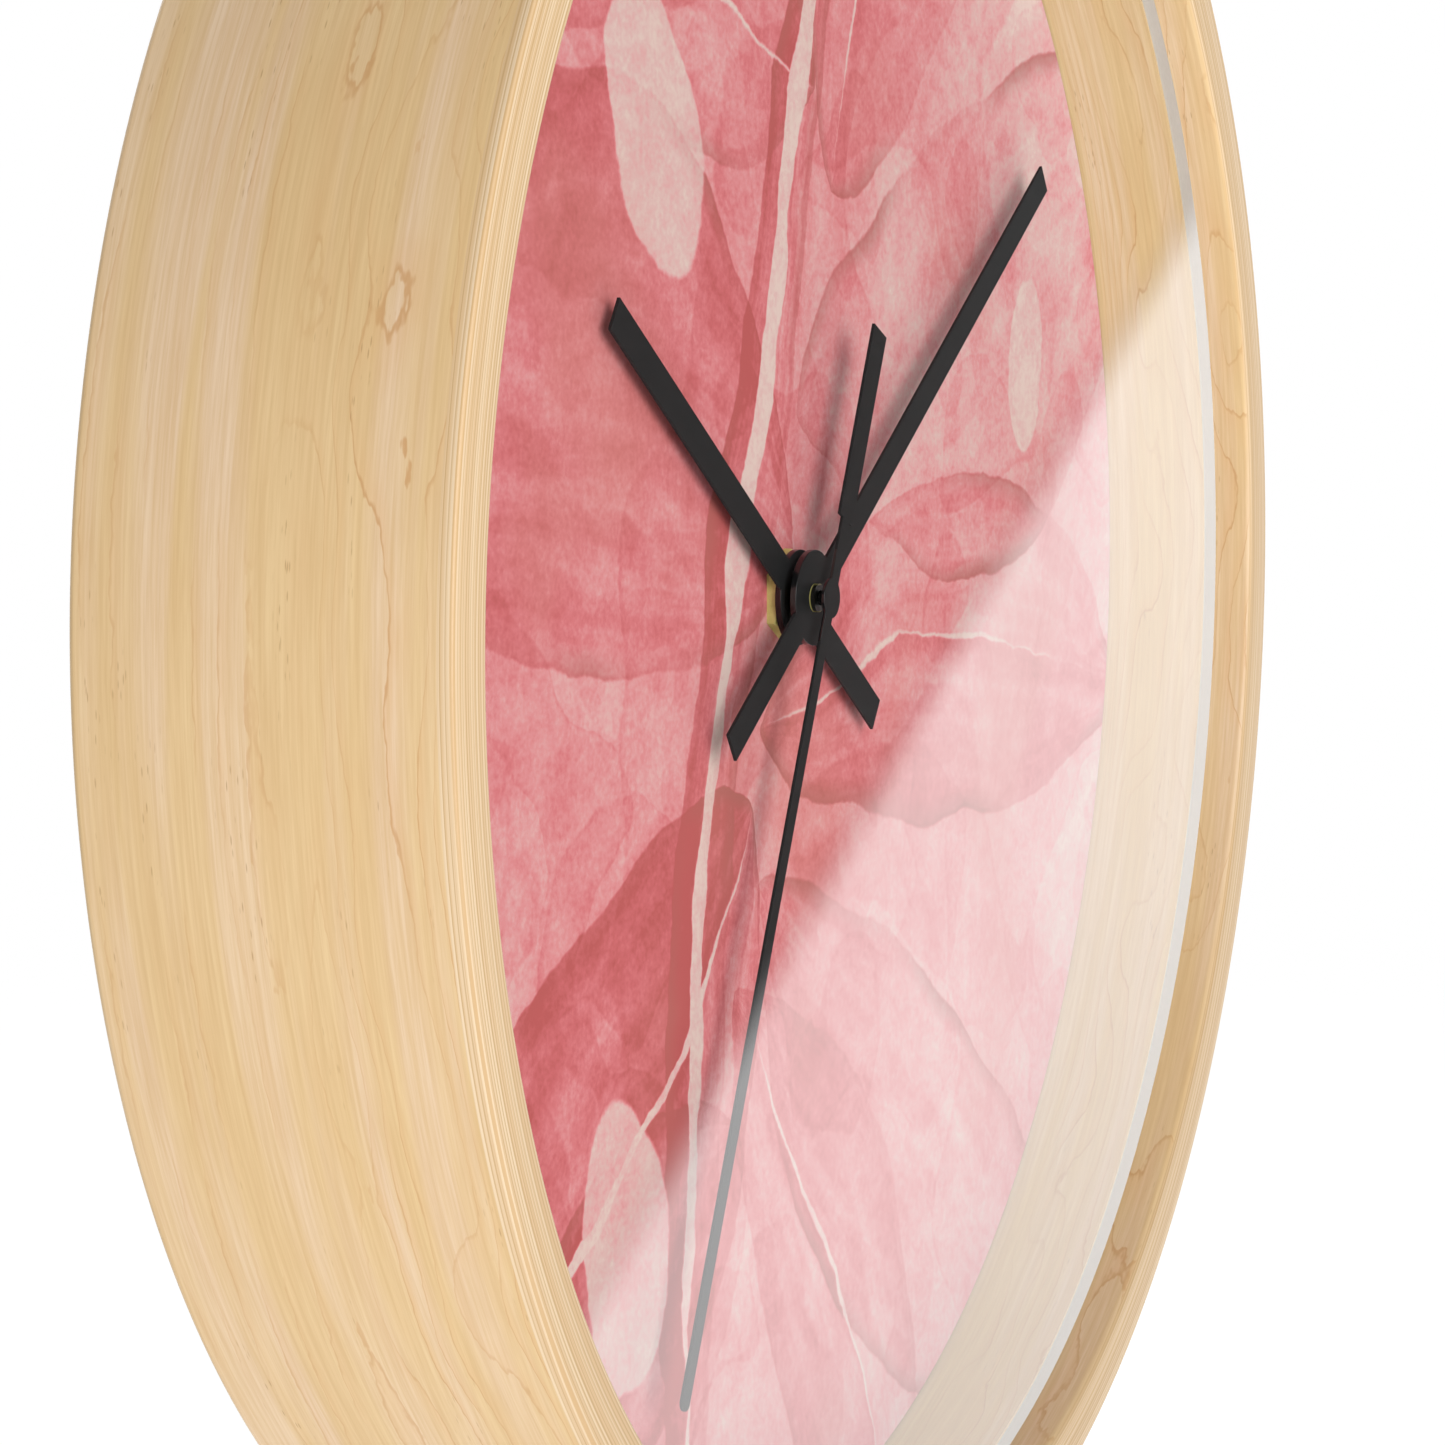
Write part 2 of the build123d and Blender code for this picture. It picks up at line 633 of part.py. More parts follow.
def make_cell():
    can = cylinder_along_x(CELL_RADIUS, CELL_LEFT, CELL_SHOULDER, CELL_Z, CELL_DEPTH)
    can = fillet(can.edges().filter_by(GeomType.CIRCLE), CELL_EDGE)
    nub = cylinder_along_x(CELL_NUB_RADIUS, CELL_SHOULDER, CELL_NUB, CELL_Z, CELL_DEPTH)
    return can + nub


# Train

def make_rotor_magnet():
    return tube(MAGNET_RADIUS, PIVOT_RADIUS + PRESS_GAP, *ROTOR_MAGNET, ROTOR)


def make_rotor_pinion():
    module = module_for(ROTOR_DISTANCE, ROTOR_TEETH, INTERMEDIATE_TEETH)
    pinion = gear(ROTOR_TEETH, module, driver_tooth(ROTOR, INTERMEDIATE), ROTOR_PINION, ROTOR)
    return pinion + rod(PIVOT_RADIUS, PIVOT_BACK, PLATE_FRONT, ROTOR)


def make_intermediate_wheel():
    wheel_module = module_for(ROTOR_DISTANCE, ROTOR_TEETH, INTERMEDIATE_TEETH)
    wheel_tooth = driven_tooth(ROTOR, INTERMEDIATE, INTERMEDIATE_TEETH)
    wheel = gear(INTERMEDIATE_TEETH, wheel_module, wheel_tooth, INTERMEDIATE_WHEEL, INTERMEDIATE, True)
    pinion_module = module_for(INTERMEDIATE_DISTANCE, INTERMEDIATE_PINION_TEETH, SECOND_TEETH)
    pinion_tooth = driver_tooth(INTERMEDIATE, CENTRE)
    wheel += gear(INTERMEDIATE_PINION_TEETH, pinion_module, pinion_tooth, INTERMEDIATE_PINION, INTERMEDIATE)
    return wheel + staff(INTERMEDIATE, PLATE_FRONT, PLATE_BACK - PIVOT_RUN)


def make_second_wheel():
    wheel_module = module_for(INTERMEDIATE_DISTANCE, INTERMEDIATE_PINION_TEETH, SECOND_TEETH)
    wheel_tooth = driven_tooth(INTERMEDIATE, CENTRE, SECOND_TEETH)
    wheel = gear(SECOND_TEETH, wheel_module, wheel_tooth, SECOND_WHEEL, CENTRE, True)
    pinion_module = module_for(THIRD_DISTANCE, SECOND_PINION_TEETH, THIRD_TEETH)
    pinion_tooth = driver_tooth(CENTRE, THIRD)
    wheel += gear(SECOND_PINION_TEETH, pinion_module, pinion_tooth, SECOND_PINION)
    wheel += rod(WHEEL_HUB_RADIUS / 2, SECOND_WHEEL[1], SECOND_PINION[0])
    wheel += rod(PIVOT_RADIUS, PIVOT_BACK, PIVOT_SHOULDER)
    return wheel + rod(SECOND_ARBOR_RADIUS, PIVOT_SHOULDER, SECOND_ARBOR_FRONT)


def make_third_wheel():
    wheel_module = module_for(THIRD_DISTANCE, SECOND_PINION_TEETH, THIRD_TEETH)
    wheel_tooth = driven_tooth(CENTRE, THIRD, THIRD_TEETH)
    wheel = gear(THIRD_TEETH, wheel_module, wheel_tooth, THIRD_WHEEL, THIRD, True)
    pinion_module = module_for(THIRD_DISTANCE, THIRD_PINION_TEETH, MINUTE_TEETH)
    wheel += gear(THIRD_PINION_TEETH, pinion_module, driver_tooth(THIRD, CENTRE), THIRD_PINION, THIRD)
    front_pivot = THIRD_PINION[1] + PIVOT_BOSS_HEIGHT + PIVOT_HOLE_DEPTH - PIVOT_RUN
    return wheel + staff(THIRD, front_pivot, THIRD_PINION[1] + PIVOT_BOSS_HEIGHT - PIVOT_RUN)


def make_minute_wheel():
    """Wheel that drives the cannon pinion by friction on its sleeve."""
    module = module_for(THIRD_DISTANCE, THIRD_PINION_TEETH, MINUTE_TEETH)
    wheel = gear(MINUTE_TEETH, module, driven_tooth(THIRD, CENTRE, MINUTE_TEETH), MINUTE_WHEEL, CENTRE)
    wheel += rod(MINUTE_HUB_RADIUS, MINUTE_HUB_BACK, MINUTE_WHEEL[0])
    return wheel - rod(CANNON_SLEEVE_RADIUS + RUN, MINUTE_HUB_BACK, MINUTE_WHEEL[1])


def make_cannon_pinion():
    """Minute tube: friction sleeve, shoulder, pinion and the tube that carries the minute hand."""
    module = module_for(MOTION_DISTANCE, CANNON_TEETH, MOTION_TEETH)
    cannon = gear(CANNON_TEETH, module, driver_tooth(CENTRE, MOTION), CANNON_PINION)
    cannon += rod(CANNON_SLEEVE_RADIUS, CANNON_BACK, CANNON_SHOULDER[0])
    cannon += rod(CANNON_SHOULDER_RADIUS, *CANNON_SHOULDER)
    cannon += rod(MINUTE_TUBE_RADIUS, CANNON_PINION[1], MINUTE_TUBE_FRONT)
    return cannon - rod(SECOND_ARBOR_RADIUS + RUN, CANNON_BACK, MINUTE_TUBE_FRONT)


def make_motion_wheel():
    wheel_module = module_for(MOTION_DISTANCE, CANNON_TEETH, MOTION_TEETH)
    wheel_tooth = driven_tooth(CENTRE, MOTION, MOTION_TEETH)
    wheel = gear(MOTION_TEETH, wheel_module, wheel_tooth, MOTION_WHEEL, MOTION, True)
    pinion_module = module_for(MOTION_DISTANCE, MOTION_PINION_TEETH, HOUR_TEETH)
    wheel += gear(MOTION_PINION_TEETH, pinion_module, driver_tooth(MOTION, CENTRE), MOTION_PINION, MOTION)
    return wheel - rod(MOTION_POST_RADIUS + PIVOT_RUN, MOTION_WHEEL[0], MOTION_PINION[1], MOTION)


def make_hour_wheel():
    module = module_for(MOTION_DISTANCE, MOTION_PINION_TEETH, HOUR_TEETH)
    wheel = gear(HOUR_TEETH, module, driven_tooth(MOTION, CENTRE, HOUR_TEETH), HOUR_WHEEL, CENTRE)
    wheel += rod(HOUR_TUBE_RADIUS, HOUR_WHEEL[1], HOUR_TUBE_FRONT)
    return wheel - rod(MINUTE_TUBE_RADIUS + RUN, HOUR_WHEEL[0], HOUR_TUBE_FRONT)


def make_knob():
    """Time-setting knob: fluted head outside the cover, shaft and pinion at the motion wheel."""
    flutes = [
        Pos(*polar(KNOB_HEAD_RADIUS, index * 360 / KNOB_FLUTES)) * Circle(KNOB_FLUTE_RADIUS)
        for index in range(KNOB_FLUTES)
    ]
    knob = slab(Circle(KNOB_HEAD_RADIUS) - flutes, *KNOB_HEAD, KNOB)
    knob += rod(KNOB_SHAFT_RADIUS, KNOB_HEAD[1], KNOB_SHOULDER, KNOB)
    knob += rod(KNOB_PIVOT_RADIUS, KNOB_SHOULDER, KNOB_PIVOT_FRONT, KNOB)
    module = module_for(KNOB_DISTANCE, KNOB_TEETH, MOTION_TEETH)
    motion_pitch = 360 / MOTION_TEETH
    motion_tooth = driven_tooth(CENTRE, MOTION, MOTION_TEETH)
    past_tooth = (bearing(MOTION, KNOB) - motion_tooth) % motion_pitch
    knob_tooth = bearing(KNOB, MOTION) + 180 / KNOB_TEETH + past_tooth * MOTION_TEETH / KNOB_TEETH
    return knob + gear(KNOB_TEETH, module, knob_tooth, KNOB_PINION, KNOB)


# Hands

def hand_arm(width, tail, length, clock_angle):
    """Straight bar along a clock angle, from the tail behind the axis to the tip."""
    bar = Pos(0, (length - tail) / 2) * Rectangle(width, length + tail)
    return Rot(0, 0, -clock_angle) * bar


def make_hub_hand(width, length, clock_angle, front, bore):
    """Hour or minute hand: a thin bar, flush with the front of a thicker round hub."""
    arm = slab(hand_arm(width, HAND_TAIL, length, clock_angle), front - HAND_THICKNESS, front)
    hand = arm + rod(HUB_RADIUS, front - HUB_THICKNESS, front)
    return hand - rod(bore, front - HUB_THICKNESS, front)


def make_hour_hand():
    return make_hub_hand(HOUR_WIDTH, HOUR_LENGTH, HOUR_ANGLE, HOUR_FRONT, HOUR_TUBE_RADIUS + PRESS_GAP)


def make_minute_hand():
    bore = MINUTE_TUBE_RADIUS + PRESS_GAP
    return make_hub_hand(MINUTE_WIDTH, MINUTE_LENGTH, MINUTE_ANGLE, MINUTE_FRONT, bore)


def make_second_hand():
    """Thin blade with a round tip, a round hub and a wider counterweight on the far side."""
    tip_radius = SECOND_WIDTH / 2
    blade = hand_arm(SECOND_WIDTH, COUNTERWEIGHT_START, SECOND_LENGTH - tip_radius, SECOND_ANGLE)
    tip = polar(SECOND_LENGTH - tip_radius, 90 - SECOND_ANGLE)
    weight = hand_arm(COUNTERWEIGHT_WIDTH, COUNTERWEIGHT_END, -COUNTERWEIGHT_START, SECOND_ANGLE)
    outline = blade + Pos(*tip) * Circle(tip_radius) + weight + Circle(SECOND_HUB_RADIUS)
    return slab(outline, SECOND_FRONT - HAND_THICKNESS, SECOND_FRONT)


def make_second_tube():
    bore = SECOND_ARBOR_RADIUS + PRESS_GAP
    sleeve = tube(SECOND_TUBE_RADIUS, bore, SECOND_TUBE_BACK, SECOND_ARBOR_FRONT)
    cap_front = SECOND_FRONT - HAND_THICKNESS
    return sleeve + rod(SECOND_TUBE_RADIUS, SECOND_ARBOR_FRONT, cap_front)


PARTS = {
    "rim": make_rim,
    "front_lens": make_lens,
    "dial_print": make_dial_print,
    "dial_board": make_dial_board,
    "dial_retaining_ring": make_retainer,
    "dial_screws": make_dial_screws,
    "hanger_block": make_hanger_block,
    "hanger_plate": make_hanger_plate,
    "hanger_screws": make_hanger_screws,
    "rubber_washer": make_washer,
    "stem_nut": make_nut,
    "movement_case": make_case,
    "movement_cover": make_cover,
    "middle_plate": make_middle_plate,
    "circuit_board": make_circuit_board,
    "control_chip": make_chip,
    "quartz_crystal": make_crystal,
    "stator": make_stator,
    "coil_bobbin": make_bobbin,
    "coil_winding": make_winding,
    "positive_contact": make_positive_contact,
    "negative_contact": make_negative_contact,
    "battery_cell": make_cell,
    "rotor_magnet": make_rotor_magnet,
    "rotor_pinion": make_rotor_pinion,
    "intermediate_wheel": make_intermediate_wheel,
    "second_wheel": make_second_wheel,
    "third_wheel": make_third_wheel,
    "minute_wheel": make_minute_wheel,
    "cannon_pinion": make_cannon_pinion,
    "motion_wheel": make_motion_wheel,
    "hour_wheel": make_hour_wheel,
    "setting_knob": make_knob,
    "hour_hand": make_hour_hand,
    "minute_hand": make_minute_hand,
    "second_hand": make_second_hand,
    "second_hand_tube": make_second_tube,
}

os.makedirs("parts", exist_ok=True)
for node, make in PARTS.items():
    export_step(make(), f"parts/{node}.step")
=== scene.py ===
import json
from math import cos, hypot, pi, radians, sin

import bmesh
import bpy
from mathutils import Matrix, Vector


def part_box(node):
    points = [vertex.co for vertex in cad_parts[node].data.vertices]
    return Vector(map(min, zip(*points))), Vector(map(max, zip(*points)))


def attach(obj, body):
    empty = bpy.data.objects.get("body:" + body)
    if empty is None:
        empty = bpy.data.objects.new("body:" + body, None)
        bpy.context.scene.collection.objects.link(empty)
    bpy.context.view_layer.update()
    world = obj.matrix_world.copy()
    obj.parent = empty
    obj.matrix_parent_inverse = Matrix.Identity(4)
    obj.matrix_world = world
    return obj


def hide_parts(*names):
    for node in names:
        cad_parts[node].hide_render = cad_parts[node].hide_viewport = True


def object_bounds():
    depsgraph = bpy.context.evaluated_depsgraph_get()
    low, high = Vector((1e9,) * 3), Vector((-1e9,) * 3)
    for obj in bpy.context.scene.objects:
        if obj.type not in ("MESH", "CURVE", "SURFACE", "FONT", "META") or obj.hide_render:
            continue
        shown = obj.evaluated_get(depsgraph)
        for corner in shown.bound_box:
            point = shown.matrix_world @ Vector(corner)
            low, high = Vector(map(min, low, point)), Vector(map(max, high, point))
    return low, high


# A round wall clock: bent maple rim, clear front, watercolour dial, charcoal hands, quartz movement.
# The clock faces -Y. "Depth" is the distance in front of the rear plane, so y = -depth.
# Clock angles run clockwise from twelve, seen from the front.

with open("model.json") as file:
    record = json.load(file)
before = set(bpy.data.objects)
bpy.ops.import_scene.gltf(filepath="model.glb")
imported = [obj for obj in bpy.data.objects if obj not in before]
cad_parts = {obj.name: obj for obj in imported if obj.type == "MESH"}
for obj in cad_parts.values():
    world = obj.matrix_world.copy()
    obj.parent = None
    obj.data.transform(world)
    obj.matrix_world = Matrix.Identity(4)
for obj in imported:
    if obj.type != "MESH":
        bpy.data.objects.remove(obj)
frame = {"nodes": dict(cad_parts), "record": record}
cad_low, cad_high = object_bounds()

record = frame["record"]
BODY_OF = {node: body for body, nodes in record["behaviour"]["bodies"].items() for node in nodes}
SLOT_OF = {part["node"]: part["material_slot"] for part in record["subparts"]}

MM = 0.001
WHITE = (1.0, 1.0, 1.0, 1.0)

# Corners of the turned pieces, and the gap between the clear front's edge and the rim
RIM_FRONT_CORNER = 0.6 * MM
RIM_BACK_CORNER = 1.0 * MM
RIM_INNER_CORNER = 1.0 * MM
LENS_CORNER = 0.2 * MM
LENS_GAP = 0.15 * MM
CORNER_STEPS = 6
TURN_SEGMENTS = 480

# Finishing of the pieces whose shape comes straight from the CAD
WELD_DISTANCE = 0.002 * MM
FLAT_ANGLE = radians(0.5)
SMOOTH_ANGLE = radians(35.0)
HARD_EDGE_ANGLE = radians(40.0)
ROUNDING_SEGMENTS = 2

# Camera: the way it looks, how far it is from the point of the dial that it looks at, and where that
# point lies from the dial's centre
VIEW_YAW = radians(65.43)
VIEW_PITCH = radians(-4.985)
VIEW_DISTANCE = 0.5457
VIEW_AIM_RIGHT = -0.0182
VIEW_AIM_UP = -0.0141
SENSOR_WIDTH = 36.0
FOCAL_LENGTH = 113.34
CLIP_NEAR = 0.01
CLIP_FAR = 100.0

# World: glossy faces see a large softbox on one side of a tilted plane and shade on the other, and
# matt faces see a surround that gets brighter downwards
SOFTBOX_NORMAL = (0.294, 0.830, -0.474)
SOFTBOX_EDGE = 0.006
SOFTBOX_STRENGTH = 1.3
SOFTBOX_SHADE = 0.04
SURROUND_BELOW = 0.42
SURROUND_ABOVE = 0.25

# Lights: soft ellipses at one distance from the dial's centre. Powers are in watts
LIGHT_DISTANCE = 4.0
LIGHT_WIDTH = 2.1
KEY_AZIMUTH = radians(-37.0)
KEY_ELEVATION = radians(8.5)
KEY_HEIGHT = 3.2
KEY_POWER = 113.0
RIM_LIGHT_AZIMUTH = radians(-39.5)
RIM_LIGHT_ELEVATION = radians(-3.0)
RIM_LIGHT_HEIGHT = 6.0
RIM_LIGHT_POWER = 190.0
BACK_AZIMUTH = radians(150.0)
BACK_ELEVATION = radians(35.0)
BACK_POWER = 64.0
RIGHT_AZIMUTH = radians(98.0)
RIGHT_ELEVATION = radians(20.0)
RIGHT_POWER = 48.0

# Floor: solid out to FLOOR_NEAR, then fading into the white world, and gone at FLOOR_FAR
FLOOR_SIZE = 30.0
FLOOR_GAP = 0.001
FLOOR_NEAR = 0.16
FLOOR_FAR = 0.60
FLOOR_GLOW = 0.92
FLOOR_SHADE = 0.16

# Wood: between these depths the growth rings go from straight lines to islands
ZONE_BACK = 20.0 * MM
ZONE_FRONT = 29.0 * MM
PLIES_PER_METRE = 1900.0
# How far behind the front edge the outer wall is sanded through to the plies
PLIES_SHOW = 1.9 * MM
SANDED_BLEND = 0.1 * MM
OUTER_WALL_SKIN = 1.0 * MM
PLYWOOD_LAYER = 1.2 * MM

# Clear front: the index is a little above acrylic's 1.49, for the strength of the mirror image
LENS_IOR = 1.6
LENS_TINT = (0.975, 0.98, 0.977, 1.0)
# EDGE_GLOW is the strength of the cut edge's painted glow, an emission and no lamp
EDGE_GLOW = 0.14
EDGE_CLOUDINESS = 0.8

# Hub: how far the hands' glossy collars reach. The arbors' ends in front of the minute hand carry a
# painted reflection of the hubs, dark across their middle but for a bright brass line above and below
HUB_REACH = 6.1 * MM
HUB_BLEND = 0.2 * MM
PAINTED_REFLECTION_FROM = 26.75 * MM
PAINTED_REFLECTION_BLEND = 0.1 * MM
PAINTED_REFLECTION_HALF_HEIGHT = 1.5 * MM
PAINTED_REFLECTION_FADE = 0.4 * MM

WIRE_PITCH = 0.12 * MM


def srgb(red, green, blue):
    """A linear colour from 0-255 screen values."""
    def linear(value):
        share = value / 255
        return share / 12.92 if share <= 0.04045 else ((share + 0.055) / 1.055) ** 2.4
    return (linear(red), linear(green), linear(blue), 1.0)


# ---------------------------------------------------------------- meshes


def radii(node):
    """Smallest and largest distance of a CAD node's corners from the hands' axis."""
    lengths = [hypot(v.co.x, v.co.z) for v in frame["nodes"][node].data.vertices]
    return min(lengths), max(lengths)


def depths(node):
    """Back and front depth of a CAD node."""
    low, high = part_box(node)
    return -high.y, -low.y


def corner(centre_radius, centre_depth, size, start):
    """A quarter round in (radius, depth), turning a quarter turn from the start angle, in degrees."""
    for step in range(CORNER_STEPS + 1):
        turn = radians(start - 90 * step / CORNER_STEPS)
        yield (centre_radius + size * cos(turn), centre_depth + size * sin(turn))


BUILT = {}


def slot_material(slot):
    """The material of one of the record's slots, built when it is first asked for and kept in BUILT."""
    if slot not in BUILT:
        BUILT[slot] = MATERIALS[slot]()
    return BUILT[slot]


def new_piece(name, mesh, nodes):
    """Links a mesh as the piece that stands for CAD nodes, on their body and in their material."""
    piece = bpy.data.objects.new(name, mesh)
    bpy.context.scene.collection.objects.link(piece)
    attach(piece, BODY_OF[nodes[0]])
    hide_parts(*nodes)
    mesh.materials.append(slot_material(SLOT_OF[nodes[0]]))
    return piece


def smooth(mesh):
    """Shades a mesh smooth, with its sharper edges kept crisp."""
    mesh.shade_smooth()
    mesh.set_sharp_from_angle(angle=SMOOTH_ANGLE)


def lathe(name, profile):
    """A closed loop of (radius, depth) points turned round the hands' axis. The UVs are metres: along
    the circumference at the outer radius, and along the profile. The seam is at the bottom."""
    work = bmesh.new()
    uv = work.loops.layers.uv.new("turned")
    rows = []
    lengths = [0.0]
    for (radius, depth), (next_radius, next_depth) in zip(profile, profile[1:] + profile[:1]):
        lengths.append(lengths[-1] + hypot(next_radius - radius, next_depth - depth))
        turns = [2 * pi * index / TURN_SEGMENTS for index in range(TURN_SEGMENTS if radius else 1)]
        rows.append([work.verts.new((-radius * sin(a), -depth, -radius * cos(a))) for a in turns])
    arc = 2 * pi * max(radius for radius, _ in profile) / TURN_SEGMENTS
    for row, (here, above) in enumerate(zip(rows, rows[1:] + rows[:1])):
        for column in range(TURN_SEGMENTS):
            # Each face runs along one ring and back along the next. On the axis a ring is one point,
            # so the face is a triangle there, or nothing where both rings are points
            places = {}
            for ring, along in ((here, row), (above, row + 1)):
                for step in (0, 1) if ring is here else (1, 0):
                    vertex = ring[(column + step) % len(ring)]
                    places.setdefault(vertex, (column + step, along))
            if len(places) < 3:
                continue
            face = work.faces.new(places)
            for loop, (across, along) in zip(face.loops, places.values()):
                loop[uv].uv = (across * arc, lengths[along])
    bmesh.ops.recalc_face_normals(work, faces=work.faces)
    mesh = bpy.data.meshes.new(name)
    work.to_mesh(mesh)
    work.free()
    smooth(mesh)
    return mesh


def refined(node, rounding):
    """A piece in a CAD node's exact shape, with its faces joined up and its hard edges rounded."""
    work = bmesh.new()
    work.from_mesh(frame["nodes"][node].data)
    bmesh.ops.remove_doubles(work, verts=work.verts, dist=WELD_DISTANCE)
    bmesh.ops.dissolve_limit(work, angle_limit=FLAT_ANGLE, verts=work.verts, edges=work.edges)
    mesh = bpy.data.meshes.new(node + "_finished")
    work.to_mesh(mesh)
    work.free()
    smooth(mesh)
    piece = new_piece(mesh.name, mesh, [node])
    bevel = piece.modifiers.new("rounding", "BEVEL")
    bevel.width = rounding
    bevel.segments = ROUNDING_SEGMENTS
    bevel.limit_method = "ANGLE"
    bevel.angle_limit = HARD_EDGE_ANGLE
    return piece


# ---------------------------------------------------------------- node trees


class Graph:
    """One node tree. Each method but the last two adds to it and returns the result's socket. Inputs
    are sockets or plain values."""

    def __init__(self, tree):
        self.nodes, self.links = tree.nodes, tree.links
        self.nodes.clear()

    def add(self, kind, inputs, output=0, **settings):
        """Any kind of node. The settings are its attributes."""
        node = self.nodes.new(kind)
        for key, value in settings.items():
            setattr(node, key, value)
        for key, value in inputs.items():
            if isinstance(value, bpy.types.NodeSocket):
                self.links.new(value, node.inputs[key])
            else:
                node.inputs[key].default_value = value
        return node.outputs[output]

    def math(self, operation, first, second=0.0, clamp=False):
        return self.add(
            "ShaderNodeMath", {0: first, 1: second}, operation=operation, use_clamp=clamp)

    def vector(self, operation, first, second=(0.0, 0.0, 0.0), output=0):
        return self.add("ShaderNodeVectorMath", {0: first, 1: second}, output, operation=operation)

    def total(self, *values):
        """All the values added up."""
        result = values[0]
        for value in values[1:]:
            result = self.math("ADD", result, value)
        return result

    def times(self, *values):
        """All the values multiplied together."""
        result = values[0]
        for value in values[1:]:
            result = self.math("MULTIPLY", result, value)
        return result

    def less(self, first, second):
        """The first less the second."""
        return self.math("SUBTRACT", first, second)

    def dot(self, first, second):
        return self.vector("DOT_PRODUCT", first, second, "Value")

    def step(self, value, low, high, start=0.0, end=1.0):
        """A smooth step from start to end as value goes from low to high."""
        inputs = {"Value": value, "From Min": low, "From Max": high, "To Min": start, "To Max": end}
        return self.add("ShaderNodeMapRange", inputs, interpolation_type="SMOOTHSTEP")

    def scaled(self, value, low, high, start=0.0, end=1.0):
        """From start to end in a straight line as value goes from low to high, and level beyond."""
        inputs = {"Value": value, "From Min": low, "From Max": high, "To Min": start, "To Max": end}
        return self.add("ShaderNodeMapRange", inputs)

    def noise(self, vector, scale, detail=2.0, roughness=0.5, distortion=0.0, output="Fac"):
        inputs = {
            "Vector": vector, "Scale": scale, "Detail": detail,
            "Roughness": roughness, "Distortion": distortion,
        }
        return self.add("ShaderNodeTexNoise", inputs, output)

    def voronoi(self, vector, scale, output="Distance", **settings):
        return self.add("ShaderNodeTexVoronoi", {"Vector": vector, "Scale": scale}, output, **settings)

    def mix(self, share, first, second):
        """The first colour where share is 0, the second where it is 1."""
        return self.add("ShaderNodeMix", {0: share, 6: first, 7: second}, 2, data_type="RGBA")

    def mix_values(self, share, first, second):
        """The first value where share is 0, the second where it is 1."""
        return self.add("ShaderNodeMix", {0: share, 2: first, 3: second}, data_type="FLOAT")

    def ramp(self, value, stops):
        """A colour ramp from a list of (place, colour)."""
        node = self.nodes.new("ShaderNodeValToRGB")
        self.links.new(value, node.inputs[0])
        elements = node.color_ramp.elements
        while len(elements) < len(stops):
            elements.new(0.5)
        for element, (place, colour) in zip(elements, stops):
            element.position = place
            element.color = colour
        return node.outputs[0]

    def parts(self, vector):
        """The x, y and z sockets of a vector."""
        node = self.nodes.new("ShaderNodeSeparateXYZ")
        self.links.new(vector, node.inputs[0])
        return node.outputs[0], node.outputs[1], node.outputs[2]

    def joined(self, x, y, z=0.0):
        """The vector of x, y and z."""
        return self.add("ShaderNodeCombineXYZ", {0: x, 1: y, 2: z})

    def place(self):
        """The point's place in the row frame, at rest, in metres."""
        return self.add("ShaderNodeTexCoord", {}, "Object")

    def turned_place(self):
        """(distance round the circumference, distance along the profile) of a turned piece."""
        return self.add("ShaderNodeUVMap", {}, uv_map="turned")

    def off_axis(self):
        """The point's distance from the hands' axis, at rest."""
        x, _, z = self.parts(self.place())
        return self.vector("LENGTH", self.joined(x, z), output="Value")

    def facing(self):
        """1 on faces that look straight to the front or the back, 0 on faces that turn sideways."""
        normal = self.add("ShaderNodeNewGeometry", {}, "Normal")
        return self.math("ABSOLUTE", self.dot(normal, (0.0, 1.0, 0.0)))

    def bounced(self, colour, bounce):
        """The colour, or a paler one for light that bounces off here onto other matt faces."""
        ray = self.add("ShaderNodeLightPath", {}, "Is Diffuse Ray")
        return self.mix(ray, colour, bounce)

    def bump(self, height, distance, strength):
        """The normal bent by a height, which distance turns into metres."""
        inputs = {"Height": height, "Distance": distance, "Strength": strength}
        return self.add("ShaderNodeBump", inputs)

    def finish(self, **inputs):
        """A principled surface as the material's output. Underscores in the names stand for spaces."""
        shader = self.add(
            "ShaderNodeBsdfPrincipled", {key.replace("_", " "): value for key, value in inputs.items()})
        self.add_output(shader)

    def add_output(self, shader):
        """Any shader as the material's output."""
        target = self.nodes.new("ShaderNodeOutputMaterial")
        self.links.new(shader, target.inputs["Surface"])


def material(name):
    """A new material and the graph that its surface is built in."""
    made = bpy.data.materials.new(name)
    made.use_nodes = True
    return made, Graph(made.node_tree)


# ---------------------------------------------------------------- wood


def grain_place(graph, along, across, along_scale, across_scale, seed=0.0):
    """A place for noise that is stretched along the grain. The scales are in features a metre."""
    return graph.joined(
        graph.times(along, along_scale), graph.times(across, across_scale), seed)


